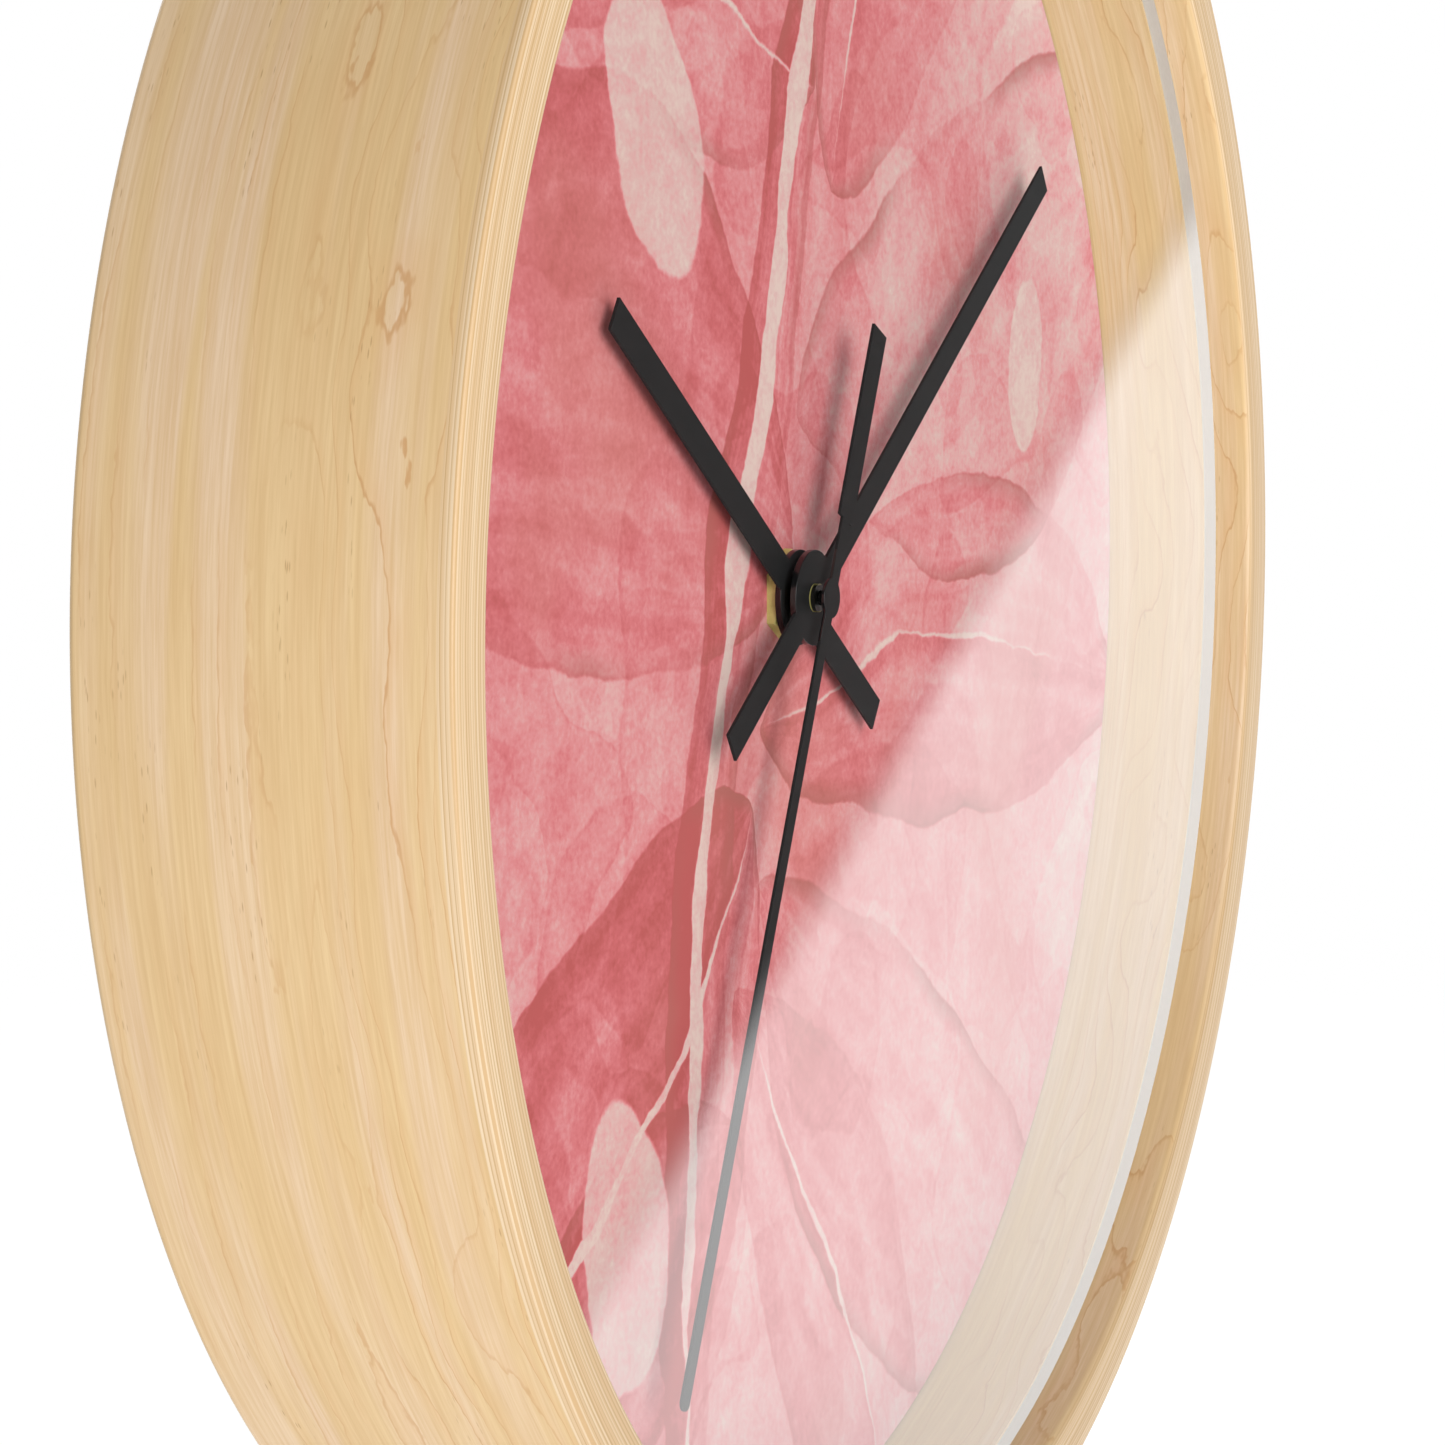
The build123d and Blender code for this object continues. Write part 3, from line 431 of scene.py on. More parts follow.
def veneer_colour(graph, along, across, depth):
    """Plain-sawn maple veneer. along runs with the grain and across over it; depth is the distance
    from the rear edge. All are in metres."""
    def grain(along_scale, across_scale, seed, detail=2.0, roughness=0.5):
        place = grain_place(graph, along, across, along_scale, across_scale, seed)
        return graph.noise(place, 1.0, detail, roughness)

    fibre = grain(55.0, 2000.0, 0.0, 4.0, 0.7)
    streak = grain(20.0, 820.0, 3.0, 3.0, 0.65)
    band = grain(7.0, 180.0, 7.0, 2.0)
    cloud = grain(22.0, 45.0, 9.0, 2.0)

    # Growth rings cut at a slant: contour lines of a smooth height. They run nearly straight over
    # the rear of the strip and wander into points and islands towards its front
    island_patch = graph.step(grain(4.0, 14.0, 15.0, 1.0), 0.30, 0.55)
    zone = graph.times(graph.step(depth, ZONE_BACK, ZONE_FRONT), island_patch)
    wander = grain(26.0, 85.0, 1.0, 1.0, 0.4)
    sway = grain(5.0, 26.0, 5.0, 1.0)
    ragged = grain(220.0, 700.0, 11.0, 2.0, 0.6)
    height = graph.total(
        graph.times(across, 360.0),
        graph.times(sway, 5.0),
        graph.times(wander, graph.scaled(zone, 0.0, 1.0, 0.8, 8.0)),
        graph.times(ragged, 0.35),
    )
    ring = graph.math("FRACT", height)
    fade = graph.step(ring, 0.97, 1.0, 1.0, 0.0)
    patchy = graph.step(grain(30.0, 110.0, 21.0), 0.40, 0.64)
    strength = graph.times(fade, graph.total(graph.times(patchy, 0.62), graph.times(zone, 0.40)))
    late_wood = graph.times(graph.step(ring, 0.40, 0.97), strength)
    line = graph.times(graph.step(ring, 0.90, 0.965), strength)

    # Short brown flecks, in loose groups
    fleck_cell = graph.voronoi(grain_place(graph, along, across, 320.0, 2300.0), 1.0)
    fleck_group = graph.step(grain(24.0, 220.0, 33.0, 1.0), 0.55, 0.68)
    fleck = graph.times(graph.step(fleck_cell, 0.08, 0.24, 1.0, 0.0), fleck_group)

    colour = graph.mix(graph.step(band, 0.42, 0.62), srgb(229, 198, 148), srgb(234, 206, 174))
    colour = graph.mix(graph.step(cloud, 0.35, 0.65, 0.0, 0.35), colour, srgb(238, 210, 166))
    colour = graph.mix(graph.step(streak, 0.40, 0.66, 0.0, 0.40), colour, srgb(218, 181, 131))
    colour = graph.mix(graph.scaled(fibre, 0.36, 0.64, 0.0, 0.50), colour, srgb(211, 173, 122))
    colour = graph.mix(graph.times(late_wood, 0.26), colour, srgb(224, 176, 124))
    colour = graph.mix(graph.times(line, 0.60), colour, srgb(199, 147, 94))
    colour = graph.mix(graph.times(fleck, 0.50), colour, srgb(166, 120, 74))
    relief = graph.total(graph.times(fibre, 0.6), graph.times(streak, 0.4), graph.times(line, -0.3))
    return colour, relief


def ply_colour(graph, along, across):
    """The edge of the bent plies: thin lines of light and dark wood that run with the edge."""
    wide = graph.noise(grain_place(graph, along, across, 3.0, 900.0, 11.0), 1.0, 1.0)
    strip = graph.noise(grain_place(graph, along, across, 5.0, 2600.0, 17.0), 1.0, 2.0, 0.6)
    fine = graph.noise(grain_place(graph, along, across, 40.0, 7000.0, 2.0), 1.0, 2.0, 0.5)
    wave = graph.total(graph.times(across, PLIES_PER_METRE), strip)
    glue = graph.step(graph.math("SINE", graph.times(wave, 2 * pi)), 0.35, 0.95)
    colour = graph.mix(graph.step(strip, 0.36, 0.60), srgb(242, 219, 186), srgb(224, 192, 150))
    colour = graph.mix(graph.step(wide, 0.40, 0.66, 0.0, 0.45), colour, srgb(212, 178, 134))
    colour = graph.mix(graph.times(glue, 0.55), colour, srgb(190, 150, 98))
    colour = graph.mix(graph.scaled(fine, 0.3, 0.7, 0.0, 0.25), colour, srgb(206, 166, 114))
    return colour, graph.less(strip, graph.times(glue, 0.4))


def maple_material():
    """Clear-lacquered maple: veneer on the walls, ply edges on the front and rear faces and where
    the outer wall is sanded down next to the front."""
    made, graph = material("maple_veneer")
    bore, outer = radii("rim")
    _, front = depths("rim")
    along, across, _ = graph.parts(graph.turned_place())
    _, y, _ = graph.parts(graph.place())
    depth = graph.times(y, -1.0)
    radius = graph.off_axis()
    near_front = graph.step(depth, front - PLIES_SHOW, front - PLIES_SHOW + SANDED_BLEND)
    outer_wall = graph.step(radius, (bore + outer) / 2, outer - OUTER_WALL_SKIN)
    sanded = graph.times(near_front, outer_wall)
    edge = graph.math("MAXIMUM", sanded, graph.step(graph.facing(), 0.55, 0.85))
    wall_colour, wall_relief = veneer_colour(graph, along, across, depth)
    edge_colour, edge_relief = ply_colour(graph, along, graph.total(radius, depth))
    colour = graph.bounced(graph.mix(edge, wall_colour, edge_colour), srgb(208, 206, 206))
    relief = graph.mix_values(edge, wall_relief, edge_relief)
    graph.finish(
        Base_Color=colour, Roughness=0.6, Specular_IOR_Level=0.1,
        Coat_Weight=0.3, Coat_Roughness=0.17, Normal=graph.bump(relief, 0.02 * MM, 0.5))
    return made


# ---------------------------------------------------------------- dial


class Petal:
    """One petal of the dial's pattern, in dial radii: where it starts, which way it points, its
    size, how far it bends sideways, how much pigment it holds, how strongly its edge is drawn and
    how wide its pale rib is."""

    def __init__(self, x, z, clock_angle, length, width, bend, tone, edge, rib=0.0):
        self.x, self.z = x, z
        self.clock_angle = radians(clock_angle)
        self.length, self.width = length, width
        self.bend, self.tone, self.edge, self.rib = bend, tone, edge, rib


PETALS = (
    # The main stem, a pale line down the dial
    Petal(0.30, 1.10, 194, 2.40, 0.075, 0.15, 0.22, 0.16, 0.038),
    # Petals on the right of it
    Petal(0.12, 0.42, 40, 1.05, 0.24, -0.10, 0.11, 0.24, 0.008),
    Petal(0.02, 0.20, 72, 1.15, 0.27, 0.12, 0.10, 0.28),
    Petal(-0.04, -0.14, 92, 1.10, 0.20, -0.08, 0.22, 0.20, 0.007),
    Petal(-0.06, -0.30, 122, 1.15, 0.22, 0.10, 0.15, 0.24),
    Petal(-0.12, -0.40, 150, 0.85, 0.18, -0.05, 0.20, 0.12, 0.009),
    # Petals on the left of it
    Petal(0.14, 0.80, 258, 0.95, 0.24, 0.10, 0.20, 0.22),
    Petal(0.08, 0.52, 300, 0.90, 0.20, -0.08, 0.14, 0.24, 0.010),
    Petal(0.02, 0.06, 276, 0.95, 0.28, 0.12, 0.24, 0.36),
    Petal(-0.06, -0.22, 244, 1.00, 0.27, -0.14, 0.30, 0.26, 0.014),
    Petal(-0.12, -0.52, 222, 0.70, 0.20, 0.08, 0.16, 0.16),
)
# Pale ovals: (x, z, clock angle, half length, half width)
OVALS = (
    (-0.31, 0.46, 156, 0.15, 0.090),
    (-0.38, -0.60, 168, 0.14, 0.095),
    (0.70, 0.24, 12, 0.10, 0.060),
)
# Wavering of its outlines: (features across a radius, reach, place in the noise)
WAVERS = (
    (1.7, 0.16, 0.0),
    (6.0, 0.040, 4.0),
    (28.0, 0.009, 8.0),
    (95.0, 0.004, 2.0),
)
# Patches where a second wash dried: (features across a radius, level, place in the noise)
SECOND_WASHES = (
    (2.2, 0.52, 12.0),
    (3.3, 0.56, 41.0),
    (4.6, 0.58, 23.0),
)


def petal_layers(graph, point, petal, seed):
    """(pigment, brown shade, pale rib) of one petal at a point. The rib is 0 if it has none."""
    forward = (sin(petal.clock_angle), cos(petal.clock_angle), 0.0)
    sideways = (cos(petal.clock_angle), -sin(petal.clock_angle), 0.0)
    local = graph.vector("SUBTRACT", point, (petal.x, petal.z, 0.0))
    travelled = graph.math("DIVIDE", graph.dot(local, forward), petal.length)
    rest = graph.less(1.0, travelled)
    bulge = graph.math("MULTIPLY", graph.times(travelled, rest), 4.0, clamp=True)
    side = graph.less(graph.dot(local, sideways), graph.times(bulge, petal.bend))
    half_width = graph.times(graph.math("POWER", bulge, 0.7), petal.width)
    inside = graph.less(half_width, graph.math("ABSOLUTE", side))
    wash = graph.step(inside, 0.0, 0.005)

    # Brush streaks fan out from the petal's foot to its tip
    fan = graph.math("DIVIDE", side, graph.math("MAXIMUM", half_width, 0.02))
    streak = graph.noise(graph.joined(travelled, graph.times(fan, 3.2), seed), 2.2, 3.0, 0.55)
    lean = graph.step(fan, -1.0, 1.0, 0.45, 1.10)
    halo = graph.step(inside, 0.0, petal.width * 0.45, 0.7, 0.0)
    tone = graph.total(lean, halo, graph.scaled(streak, 0.3, 0.7, -0.6, 0.6))
    drawn = graph.step(graph.noise(point, 2.6, 1.0), 0.40, 0.62, 0.08, 1.0)
    outline = graph.times(graph.step(inside, 0.002, 0.010, 1.0, 0.0), drawn)
    pigment = graph.times(wash, graph.total(
        graph.times(tone, petal.tone), graph.times(outline, petal.edge)))
    shade = graph.times(wash, drawn, graph.step(inside, 0.004, 0.035, petal.edge * 2.2, 0.0))
    if not petal.rib:
        return pigment, shade, 0.0

    # The rib is as wide as the brush was pressed, with a darker wash along one side of it
    pressure = graph.scaled(graph.noise(point, 5.5, 2.0), 0.3, 0.7, 0.35, 1.25)
    rib_width = graph.math("POWER", graph.times(bulge, rest), 0.6)
    rib_width = graph.times(rib_width, pressure, petal.rib)
    off_rib = graph.less(rib_width, graph.math("ABSOLUTE", side))
    beside = graph.times(
        graph.step(side, 0.0, 0.004),
        graph.step(side, petal.rib * 1.8, petal.rib * 3.0 + 0.02, 0.24, 0.0),
        pressure, wash)
    return graph.total(pigment, beside), shade, graph.step(off_rib, 0.0, 0.004)


def oval_layer(graph, point, x, z, clock_angle, half_length, half_width):
    """A pale oval with a crisp outline: 1 inside it, 0 outside."""
    turn = radians(clock_angle)
    local = graph.vector("SUBTRACT", point, (x, z, 0.0))
    along = graph.dot(local, (sin(turn) / half_length, cos(turn) / half_length, 0.0))
    side = graph.dot(local, (cos(turn) / half_width, -sin(turn) / half_width, 0.0))
    reach = graph.vector("LENGTH", graph.joined(along, side), output="Value")
    return graph.step(reach, 0.94, 1.0, 1.0, 0.0)


def watercolour_material():
    """Printed dial paper: pink washes laid over each other, pale ribs and ovals, rough paper."""
    made, graph = material("watercolour_paper")
    _, radius = radii("dial_print")
    x, _, z = graph.parts(graph.place())
    flat = graph.joined(graph.math("DIVIDE", x, radius), graph.math("DIVIDE", z, radius))

    point = flat
    for scale, reach, seed in WAVERS:
        shifted = graph.vector("ADD", flat, (seed, seed, seed))
        wobble = graph.noise(shifted, scale, 2.0, 0.5, output="Color")
        wobble = graph.vector("SUBTRACT", wobble, (0.5, 0.5, 0.5))
        wobble = graph.vector("MULTIPLY", wobble, (reach, reach, 0.0))
        point = graph.vector("ADD", point, wobble)

    density = graph.scaled(graph.noise(flat, 1.9, 4.0, 0.6), 0.30, 0.70, 0.19, 0.61)
    paler_to_the_right = graph.times(graph.parts(flat)[0], -0.24)
    density = graph.total(density, paler_to_the_right)
    brown = 0.0
    pale = 0.0
    for index, petal in enumerate(PETALS):
        pigment, shade, rib = petal_layers(graph, point, petal, 10.0 * index)
        density = graph.total(density, pigment)
        brown = graph.math("MAXIMUM", brown, shade)
        pale = graph.math("MAXIMUM", pale, rib)

    # Patches where a second wash dried with a hard edge
    for scale, level, seed in SECOND_WASHES:
        patch = graph.noise(graph.vector("ADD", point, (seed, seed, seed)), scale, 1.5, 0.4)
        laid = graph.step(patch, level, level + 0.010)
        rim = graph.times(laid, graph.step(patch, level + 0.006, level + 0.030, 1.0, 0.0))
        density = graph.total(density, graph.times(laid, 0.09), graph.times(rim, 0.07))

    for oval in OVALS:
        pale = graph.math("MAXIMUM", pale, graph.times(oval_layer(graph, point, *oval), 0.85))
    keep = graph.less(1.0, graph.times(pale, 0.90))
    density = graph.times(density, keep)

    # Pigment clouds, blotches and grains in the paper's tooth
    tooth = graph.noise(flat, 130.0, 3.0, 0.65)
    blotches = graph.noise(point, 38.0, 3.0, 0.6)
    clouds = graph.noise(point, 9.0, 3.0, 0.6)
    for texture, depth in ((tooth, 0.130), (blotches, 0.110), (clouds, 0.14)):
        density = graph.total(density, graph.scaled(texture, 0.3, 0.7, -depth, depth))

    colour = graph.ramp(graph.math("DIVIDE", density, 1.3, clamp=True), (
        (0.00, srgb(233, 204, 194)),
        (0.12, srgb(230, 190, 184)),
        (0.28, srgb(232, 170, 169)),
        (0.44, srgb(230, 148, 150)),
        (0.60, srgb(224, 127, 131)),
        (0.78, srgb(212, 109, 112)),
        (1.00, srgb(195, 94, 93)),
    ))
    blush = graph.times(graph.step(graph.noise(point, 2.1, 3.0), 0.50, 0.68), 0.22)
    colour = graph.mix(blush, colour, srgb(218, 156, 140))
    colour = graph.mix(graph.times(brown, keep), colour, srgb(178, 112, 102))
    colour = graph.bounced(colour, srgb(204, 194, 194))
    graph.finish(
        Base_Color=colour, Roughness=0.85, Specular_IOR_Level=0.2,
        Normal=graph.bump(tooth, 0.05 * MM, 0.4))
    return made


# ---------------------------------------------------------------- clear front


def in_softbox(graph, direction):
    """1 where a direction points into the softbox, 0 where it points past it."""
    return graph.step(graph.dot(direction, SOFTBOX_NORMAL), -SOFTBOX_EDGE, SOFTBOX_EDGE)


def lens_material():
    """Clear front, as a thin sheet: it mirrors the softbox, more at a slant, and is clear elsewhere."""
    made, graph = material("clear_acrylic")
    incoming = graph.add("ShaderNodeNewGeometry", {}, "Incoming")
    normal = graph.add("ShaderNodeNewGeometry", {}, "Normal")
    mirrored = graph.vector("REFLECT", graph.vector("MULTIPLY", incoming, (-1.0, -1.0, -1.0)), normal)
    one_face = graph.add("ShaderNodeFresnel", {"IOR": LENS_IOR})
    both_faces = graph.math("DIVIDE", graph.times(one_face, 2.0), graph.total(one_face, 1.0))
    back = graph.add("ShaderNodeNewGeometry", {}, "Backfacing")
    diffuse_ray = graph.add("ShaderNodeLightPath", {}, "Is Diffuse Ray")
    shadow_ray = graph.add("ShaderNodeLightPath", {}, "Is Shadow Ray")
    hidden = graph.math("MAXIMUM", back, graph.math("MAXIMUM", diffuse_ray, shadow_ray))
    share = graph.times(both_faces, graph.less(1.0, hidden), in_softbox(graph, mirrored))
    smudge = graph.noise(graph.place(), 60.0, 4.0, 0.6)
    clear = graph.add("ShaderNodeBsdfTransparent", {"Color": LENS_TINT})
    mirror = graph.add(
        "ShaderNodeBsdfGlossy",
        {"Color": WHITE, "Roughness": graph.scaled(smudge, 0.4, 0.8, 0.0, 0.02)})
    graph.add_output(graph.add("ShaderNodeMixShader", {0: share, 1: clear, 2: mirror}))
    return made


def cut_edge_material():
    """The saw-cut edge of the acrylic: frosted and pale, with a painted glow: an emission that stands
    in for the light that the sheet pipes out.
    """
    made, graph = material("acrylic_cut_edge")
    saw = graph.noise(graph.vector("MULTIPLY", graph.turned_place(), (900.0, 6000.0, 1.0)), 1.0, 2.0)
    frosted = graph.add(
        "ShaderNodeBsdfDiffuse", {"Color": graph.mix(saw, srgb(214, 210, 204), srgb(228, 225, 220))})
    # Painted light: the edge glows by an emission, standing in for light piped through the sheet
    painted_glow = graph.add("ShaderNodeEmission", {"Color": srgb(246, 240, 232), "Strength": EDGE_GLOW})
    clear = graph.add("ShaderNodeBsdfTransparent", {"Color": WHITE})
    cloudy = graph.add("ShaderNodeAddShader", {0: frosted, 1: painted_glow})
    graph.add_output(graph.add("ShaderNodeMixShader", {0: EDGE_CLOUDINESS, 1: clear, 2: cloudy}))
    return made


# ---------------------------------------------------------------- metal, plastic and board


def hand_material():
    """Matt charcoal paint on the blades, with the collars of the hubs glossy black."""
    made, graph = material("charcoal_paint")
    grain = graph.noise(graph.place(), 2600.0, 3.0, 0.6)
    in_hub = graph.step(graph.off_axis(), HUB_REACH, HUB_REACH + HUB_BLEND, 1.0, 0.0)
    collar = graph.times(in_hub, graph.step(graph.facing(), 0.5, 0.8, 1.0, 0.0))
    paint = graph.mix(grain, srgb(33, 33, 34), srgb(38, 38, 38))
    graph.finish(
        Base_Color=graph.mix(collar, paint, srgb(16, 16, 17)),
        Roughness=graph.scaled(collar, 0.0, 1.0, 0.58, 0.18),
        Specular_IOR_Level=graph.scaled(collar, 0.0, 1.0, 0.2, 0.6),
        Normal=graph.bump(grain, 0.01 * MM, 0.4))
    return made


def brass_material():
    """Turned brass with fine tool marks and a little tarnish. The arbors' front ends carry a painted
    dark reflection of the hubs across their middle.
    """
    made, graph = material("turned_brass")
    place = graph.place()
    _, y, z = graph.parts(place)
    marks = graph.noise(graph.joined(graph.off_axis(), y), 9000.0)
    tarnish = graph.noise(place, 420.0, 3.0, 0.6)
    colour = graph.mix(graph.step(tarnish, 0.35, 0.7), srgb(224, 212, 134), srgb(206, 192, 112))
    # Painted reflection: in front of the minute hand the arbors are painted dark across their middle,
    # where the hubs would be mirrored, and left brass above and below
    in_front = graph.step(y, -PAINTED_REFLECTION_FROM, -PAINTED_REFLECTION_FROM - PAINTED_REFLECTION_BLEND)
    painted_reflection_band = graph.step(
        graph.math("ABSOLUTE", z),
        PAINTED_REFLECTION_HALF_HEIGHT, PAINTED_REFLECTION_HALF_HEIGHT + PAINTED_REFLECTION_FADE, 1.0, 0.0)
    colour = graph.mix(graph.times(in_front, painted_reflection_band), colour, srgb(30, 29, 26))
    graph.finish(
        Base_Color=colour, Metallic=0.3, Roughness=graph.scaled(tarnish, 0.3, 0.7, 0.32, 0.46),
        Normal=graph.bump(marks, 0.01 * MM, 0.5))
    return made


def zinc_material():
    """Bright zinc plate on rolled steel."""
    made, graph = material("zinc_plate")
    place = graph.place()
    crystals = graph.voronoi(place, 260.0, "Color")
    rolled = graph.noise(graph.vector("MULTIPLY", place, (9000.0, 9000.0, 300.0)), 1.0, 2.0)
    colour = graph.mix(graph.times(crystals, 0.25), srgb(206, 208, 212), srgb(176, 180, 188))
    graph.finish(
        Base_Color=colour, Metallic=1.0, Roughness=graph.scaled(rolled, 0.3, 0.7, 0.28, 0.42),
        Normal=graph.bump(rolled, 0.01 * MM, 0.35))
    return made


def moulded_material(name, light, dark, roughness, texture):
    """Moulded plastic with a spark-eroded texture. texture is the bump's height, in metres."""
    made, graph = material(name)
    place = graph.place()
    sparks = graph.noise(place, 3200.0, 3.0, 0.55)
    flow = graph.noise(place, 70.0, 3.0, 0.6)
    graph.finish(
        Base_Color=graph.mix(graph.step(flow, 0.3, 0.7), light, dark),
        Roughness=graph.scaled(sparks, 0.3, 0.7, roughness - 0.06, roughness + 0.06),
        Normal=graph.bump(sparks, texture, 0.6))
    return made


def hardboard_material():
    """Pressed fibreboard: matted brown fibres."""
    made, graph = material("hardboard")
    place = graph.place()
    fibres = graph.noise(place, 900.0, 4.0, 0.7, 1.5)
    mottle = graph.noise(place, 110.0, 3.0, 0.6)
    colour = graph.mix(graph.step(fibres, 0.30, 0.70), srgb(134, 98, 68), srgb(96, 66, 44))
    colour = graph.mix(graph.step(mottle, 0.35, 0.70, 0.0, 0.45), colour, srgb(158, 120, 84))
    graph.finish(
        Base_Color=colour, Roughness=0.85, Specular_IOR_Level=0.2,
        Normal=graph.bump(fibres, 0.12 * MM, 0.7))
    return made


def plywood_material():
    """Birch plywood: pale long grain on the faces, glue lines on the edges."""
    made, graph = material("birch_plywood")
    place = graph.place()
    _, y, _ = graph.parts(place)
    grain = graph.noise(graph.vector("MULTIPLY", place, (26.0, 600.0, 900.0)), 1.0, 4.0, 0.6)
    figure = graph.noise(graph.vector("MULTIPLY", place, (9.0, 60.0, 90.0)), 1.0, 2.0, 0.5, 0.6)
    figure_line = graph.math("PINGPONG", graph.times(figure, 9.0), 1.0)
    face = graph.mix(graph.step(grain, 0.30, 0.72), srgb(226, 196, 152), srgb(204, 168, 120))
    face = graph.mix(graph.step(figure_line, 0.72, 1.0, 0.0, 0.35), face, srgb(180, 138, 92))
    layer = graph.math("PINGPONG", graph.times(y, 1 / PLYWOOD_LAYER), 1.0)
    edge = graph.mix(graph.step(layer, 0.42, 0.58), srgb(222, 190, 142), srgb(176, 134, 88))
    edge = graph.mix(graph.step(layer, 0.46, 0.50), edge, srgb(196, 156, 108))
    graph.finish(
        Base_Color=graph.mix(graph.step(graph.facing(), 0.4, 0.7), edge, face), Roughness=0.7,
        Normal=graph.bump(grain, 0.06 * MM, 0.5))
    return made


def rubber_material():
    """Black rubber with a dusty bloom."""
    made, graph = material("black_rubber")
    bloom = graph.noise(graph.place(), 900.0, 4.0, 0.6)
    graph.finish(
        Base_Color=graph.mix(bloom, srgb(34, 34, 34), srgb(52, 51, 50)), Roughness=0.82,
        Normal=graph.bump(bloom, 0.02 * MM, 0.4))
    return made


def copper_material():
    """Enamelled wire, wound in fine rings along X."""
    made, graph = material("copper_winding")
    place = graph.place()
    x, _, _ = graph.parts(place)
    turn = graph.math("PINGPONG", graph.times(x, 1 / WIRE_PITCH), 1.0)
    tone = graph.noise(place, 500.0, 2.0)
    graph.finish(
        Base_Color=graph.mix(tone, srgb(196, 112, 66), srgb(158, 80, 44)), Metallic=0.8, Roughness=0.32,
        Normal=graph.bump(turn, 0.05 * MM, 0.8))
    return made


def circuit_material():
    """Green solder mask over faint copper tracks."""
    made, graph = material("circuit_board")
    place = graph.place()
    cells = graph.voronoi(place, 420.0, distance="MANHATTAN")
    track = graph.step(cells, 0.42, 0.46)
    graph.finish(
        Base_Color=graph.mix(track, srgb(28, 92, 54), srgb(44, 122, 72)), Roughness=0.38,
        Normal=graph.bump(track, 0.03 * MM, 0.6))
    return made


def metal_material(name, light, dark, roughness):
    """Bare or plated metal with fine scratches."""
    made, graph = material(name)
    place = graph.place()
    scratch = graph.noise(graph.vector("MULTIPLY", place, (800.0, 6000.0, 6000.0)), 1.0, 3.0, 0.6)
    stain = graph.noise(place, 300.0, 3.0)
    graph.finish(
        Base_Color=graph.mix(graph.step(stain, 0.3, 0.7), light, dark), Metallic=0.95,
        Roughness=graph.scaled(scratch, 0.3, 0.7, roughness - 0.07, roughness + 0.07),
        Normal=graph.bump(scratch, 0.01 * MM, 0.4))
    return made


def sleeve_material():
    """A cell's printed film sleeve: dark body with a copper band at the positive end, no lettering."""
    made, graph = material("cell_sleeve")
    low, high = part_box("battery_cell")
    place = graph.place()
    x, _, _ = graph.parts(place)
    along = graph.scaled(x, low.x, high.x)
    fine = graph.noise(place, 900.0, 2.0)
    body = graph.mix(fine, srgb(38, 42, 50), srgb(46, 50, 58))
    band = graph.mix(fine, srgb(196, 128, 70), srgb(178, 112, 58))
    steel = graph.mix(fine, srgb(200, 202, 206), srgb(180, 182, 186))
    colour = graph.mix(graph.step(along, 0.715, 0.722), body, band)
    positive_end = graph.step(along, 0.962, 0.964)
    negative_end = graph.step(along, 0.018, 0.020, 1.0, 0.0)
    bare = graph.math("MAXIMUM", positive_end, negative_end)
    colour = graph.mix(bare, colour, steel)
    graph.finish(
        Base_Color=colour, Metallic=graph.math("MAXIMUM", bare, 0.15), Roughness=0.28,
        Coat_Weight=0.4, Coat_Roughness=0.12, Normal=graph.bump(fine, 0.01 * MM, 0.3))
    return made


# ---------------------------------------------------------------- pieces


MATERIALS = {
    "maple": maple_material,
    "clear_acrylic": lens_material,
    "dial_paper": watercolour_material,
    "hardboard": hardboard_material,
    "plywood": plywood_material,
    "zinc_steel": zinc_material,
    "rubber": rubber_material,
    "brass": brass_material,
    "black_plastic": lambda: moulded_material(
        "black_abs", srgb(33, 33, 35), srgb(27, 27, 29), 0.46, 0.03 * MM),
    "natural_plastic": lambda: moulded_material(
        "natural_acetal", srgb(233, 230, 219), srgb(222, 218, 205), 0.36, 0.01 * MM),
    "knob_plastic": lambda: moulded_material(
        "grey_abs", srgb(196, 196, 194), srgb(184, 184, 182), 0.42, 0.01 * MM),
    "hand_paint": hand_material,
    "circuit_laminate": circuit_material,
    "black_epoxy": lambda: moulded_material(
        "cured_epoxy", srgb(24, 24, 24), srgb(18, 18, 18), 0.22, 0.005 * MM),
    "silicon_iron": lambda: metal_material(
        "silicon_iron", srgb(150, 152, 156), srgb(124, 126, 131), 0.42),
    "copper_wire": copper_material,
    "nickel_strip": lambda: metal_material(
        "nickel_plate", srgb(214, 211, 202), srgb(190, 187, 178), 0.24),
    "magnet": lambda: metal_material("sintered_ferrite", srgb(74, 74, 78), srgb(58, 58, 62), 0.55),
    "cell_sleeve": sleeve_material,
}

# CAD nodes whose hard edges are rounded for the finished look, with the rounding in mm
ROUNDED = {
    "dial_board": 0.3,
    "dial_retaining_ring": 0.5,
    "dial_screws": 0.12,
    "hanger_block": 0.6,
    "hanger_plate": 0.15,
    "hanger_screws": 0.12,
    "rubber_washer": 0.3,
    "stem_nut": 0.12,
    "movement_case": 0.35,
    "movement_cover": 0.25,
    "setting_knob": 0.2,
    "battery_cell": 0.3,
    "hour_hand": 0.06,
    "minute_hand": 0.06,
    "second_hand": 0.06,
    "second_hand_tube": 0.08,
}


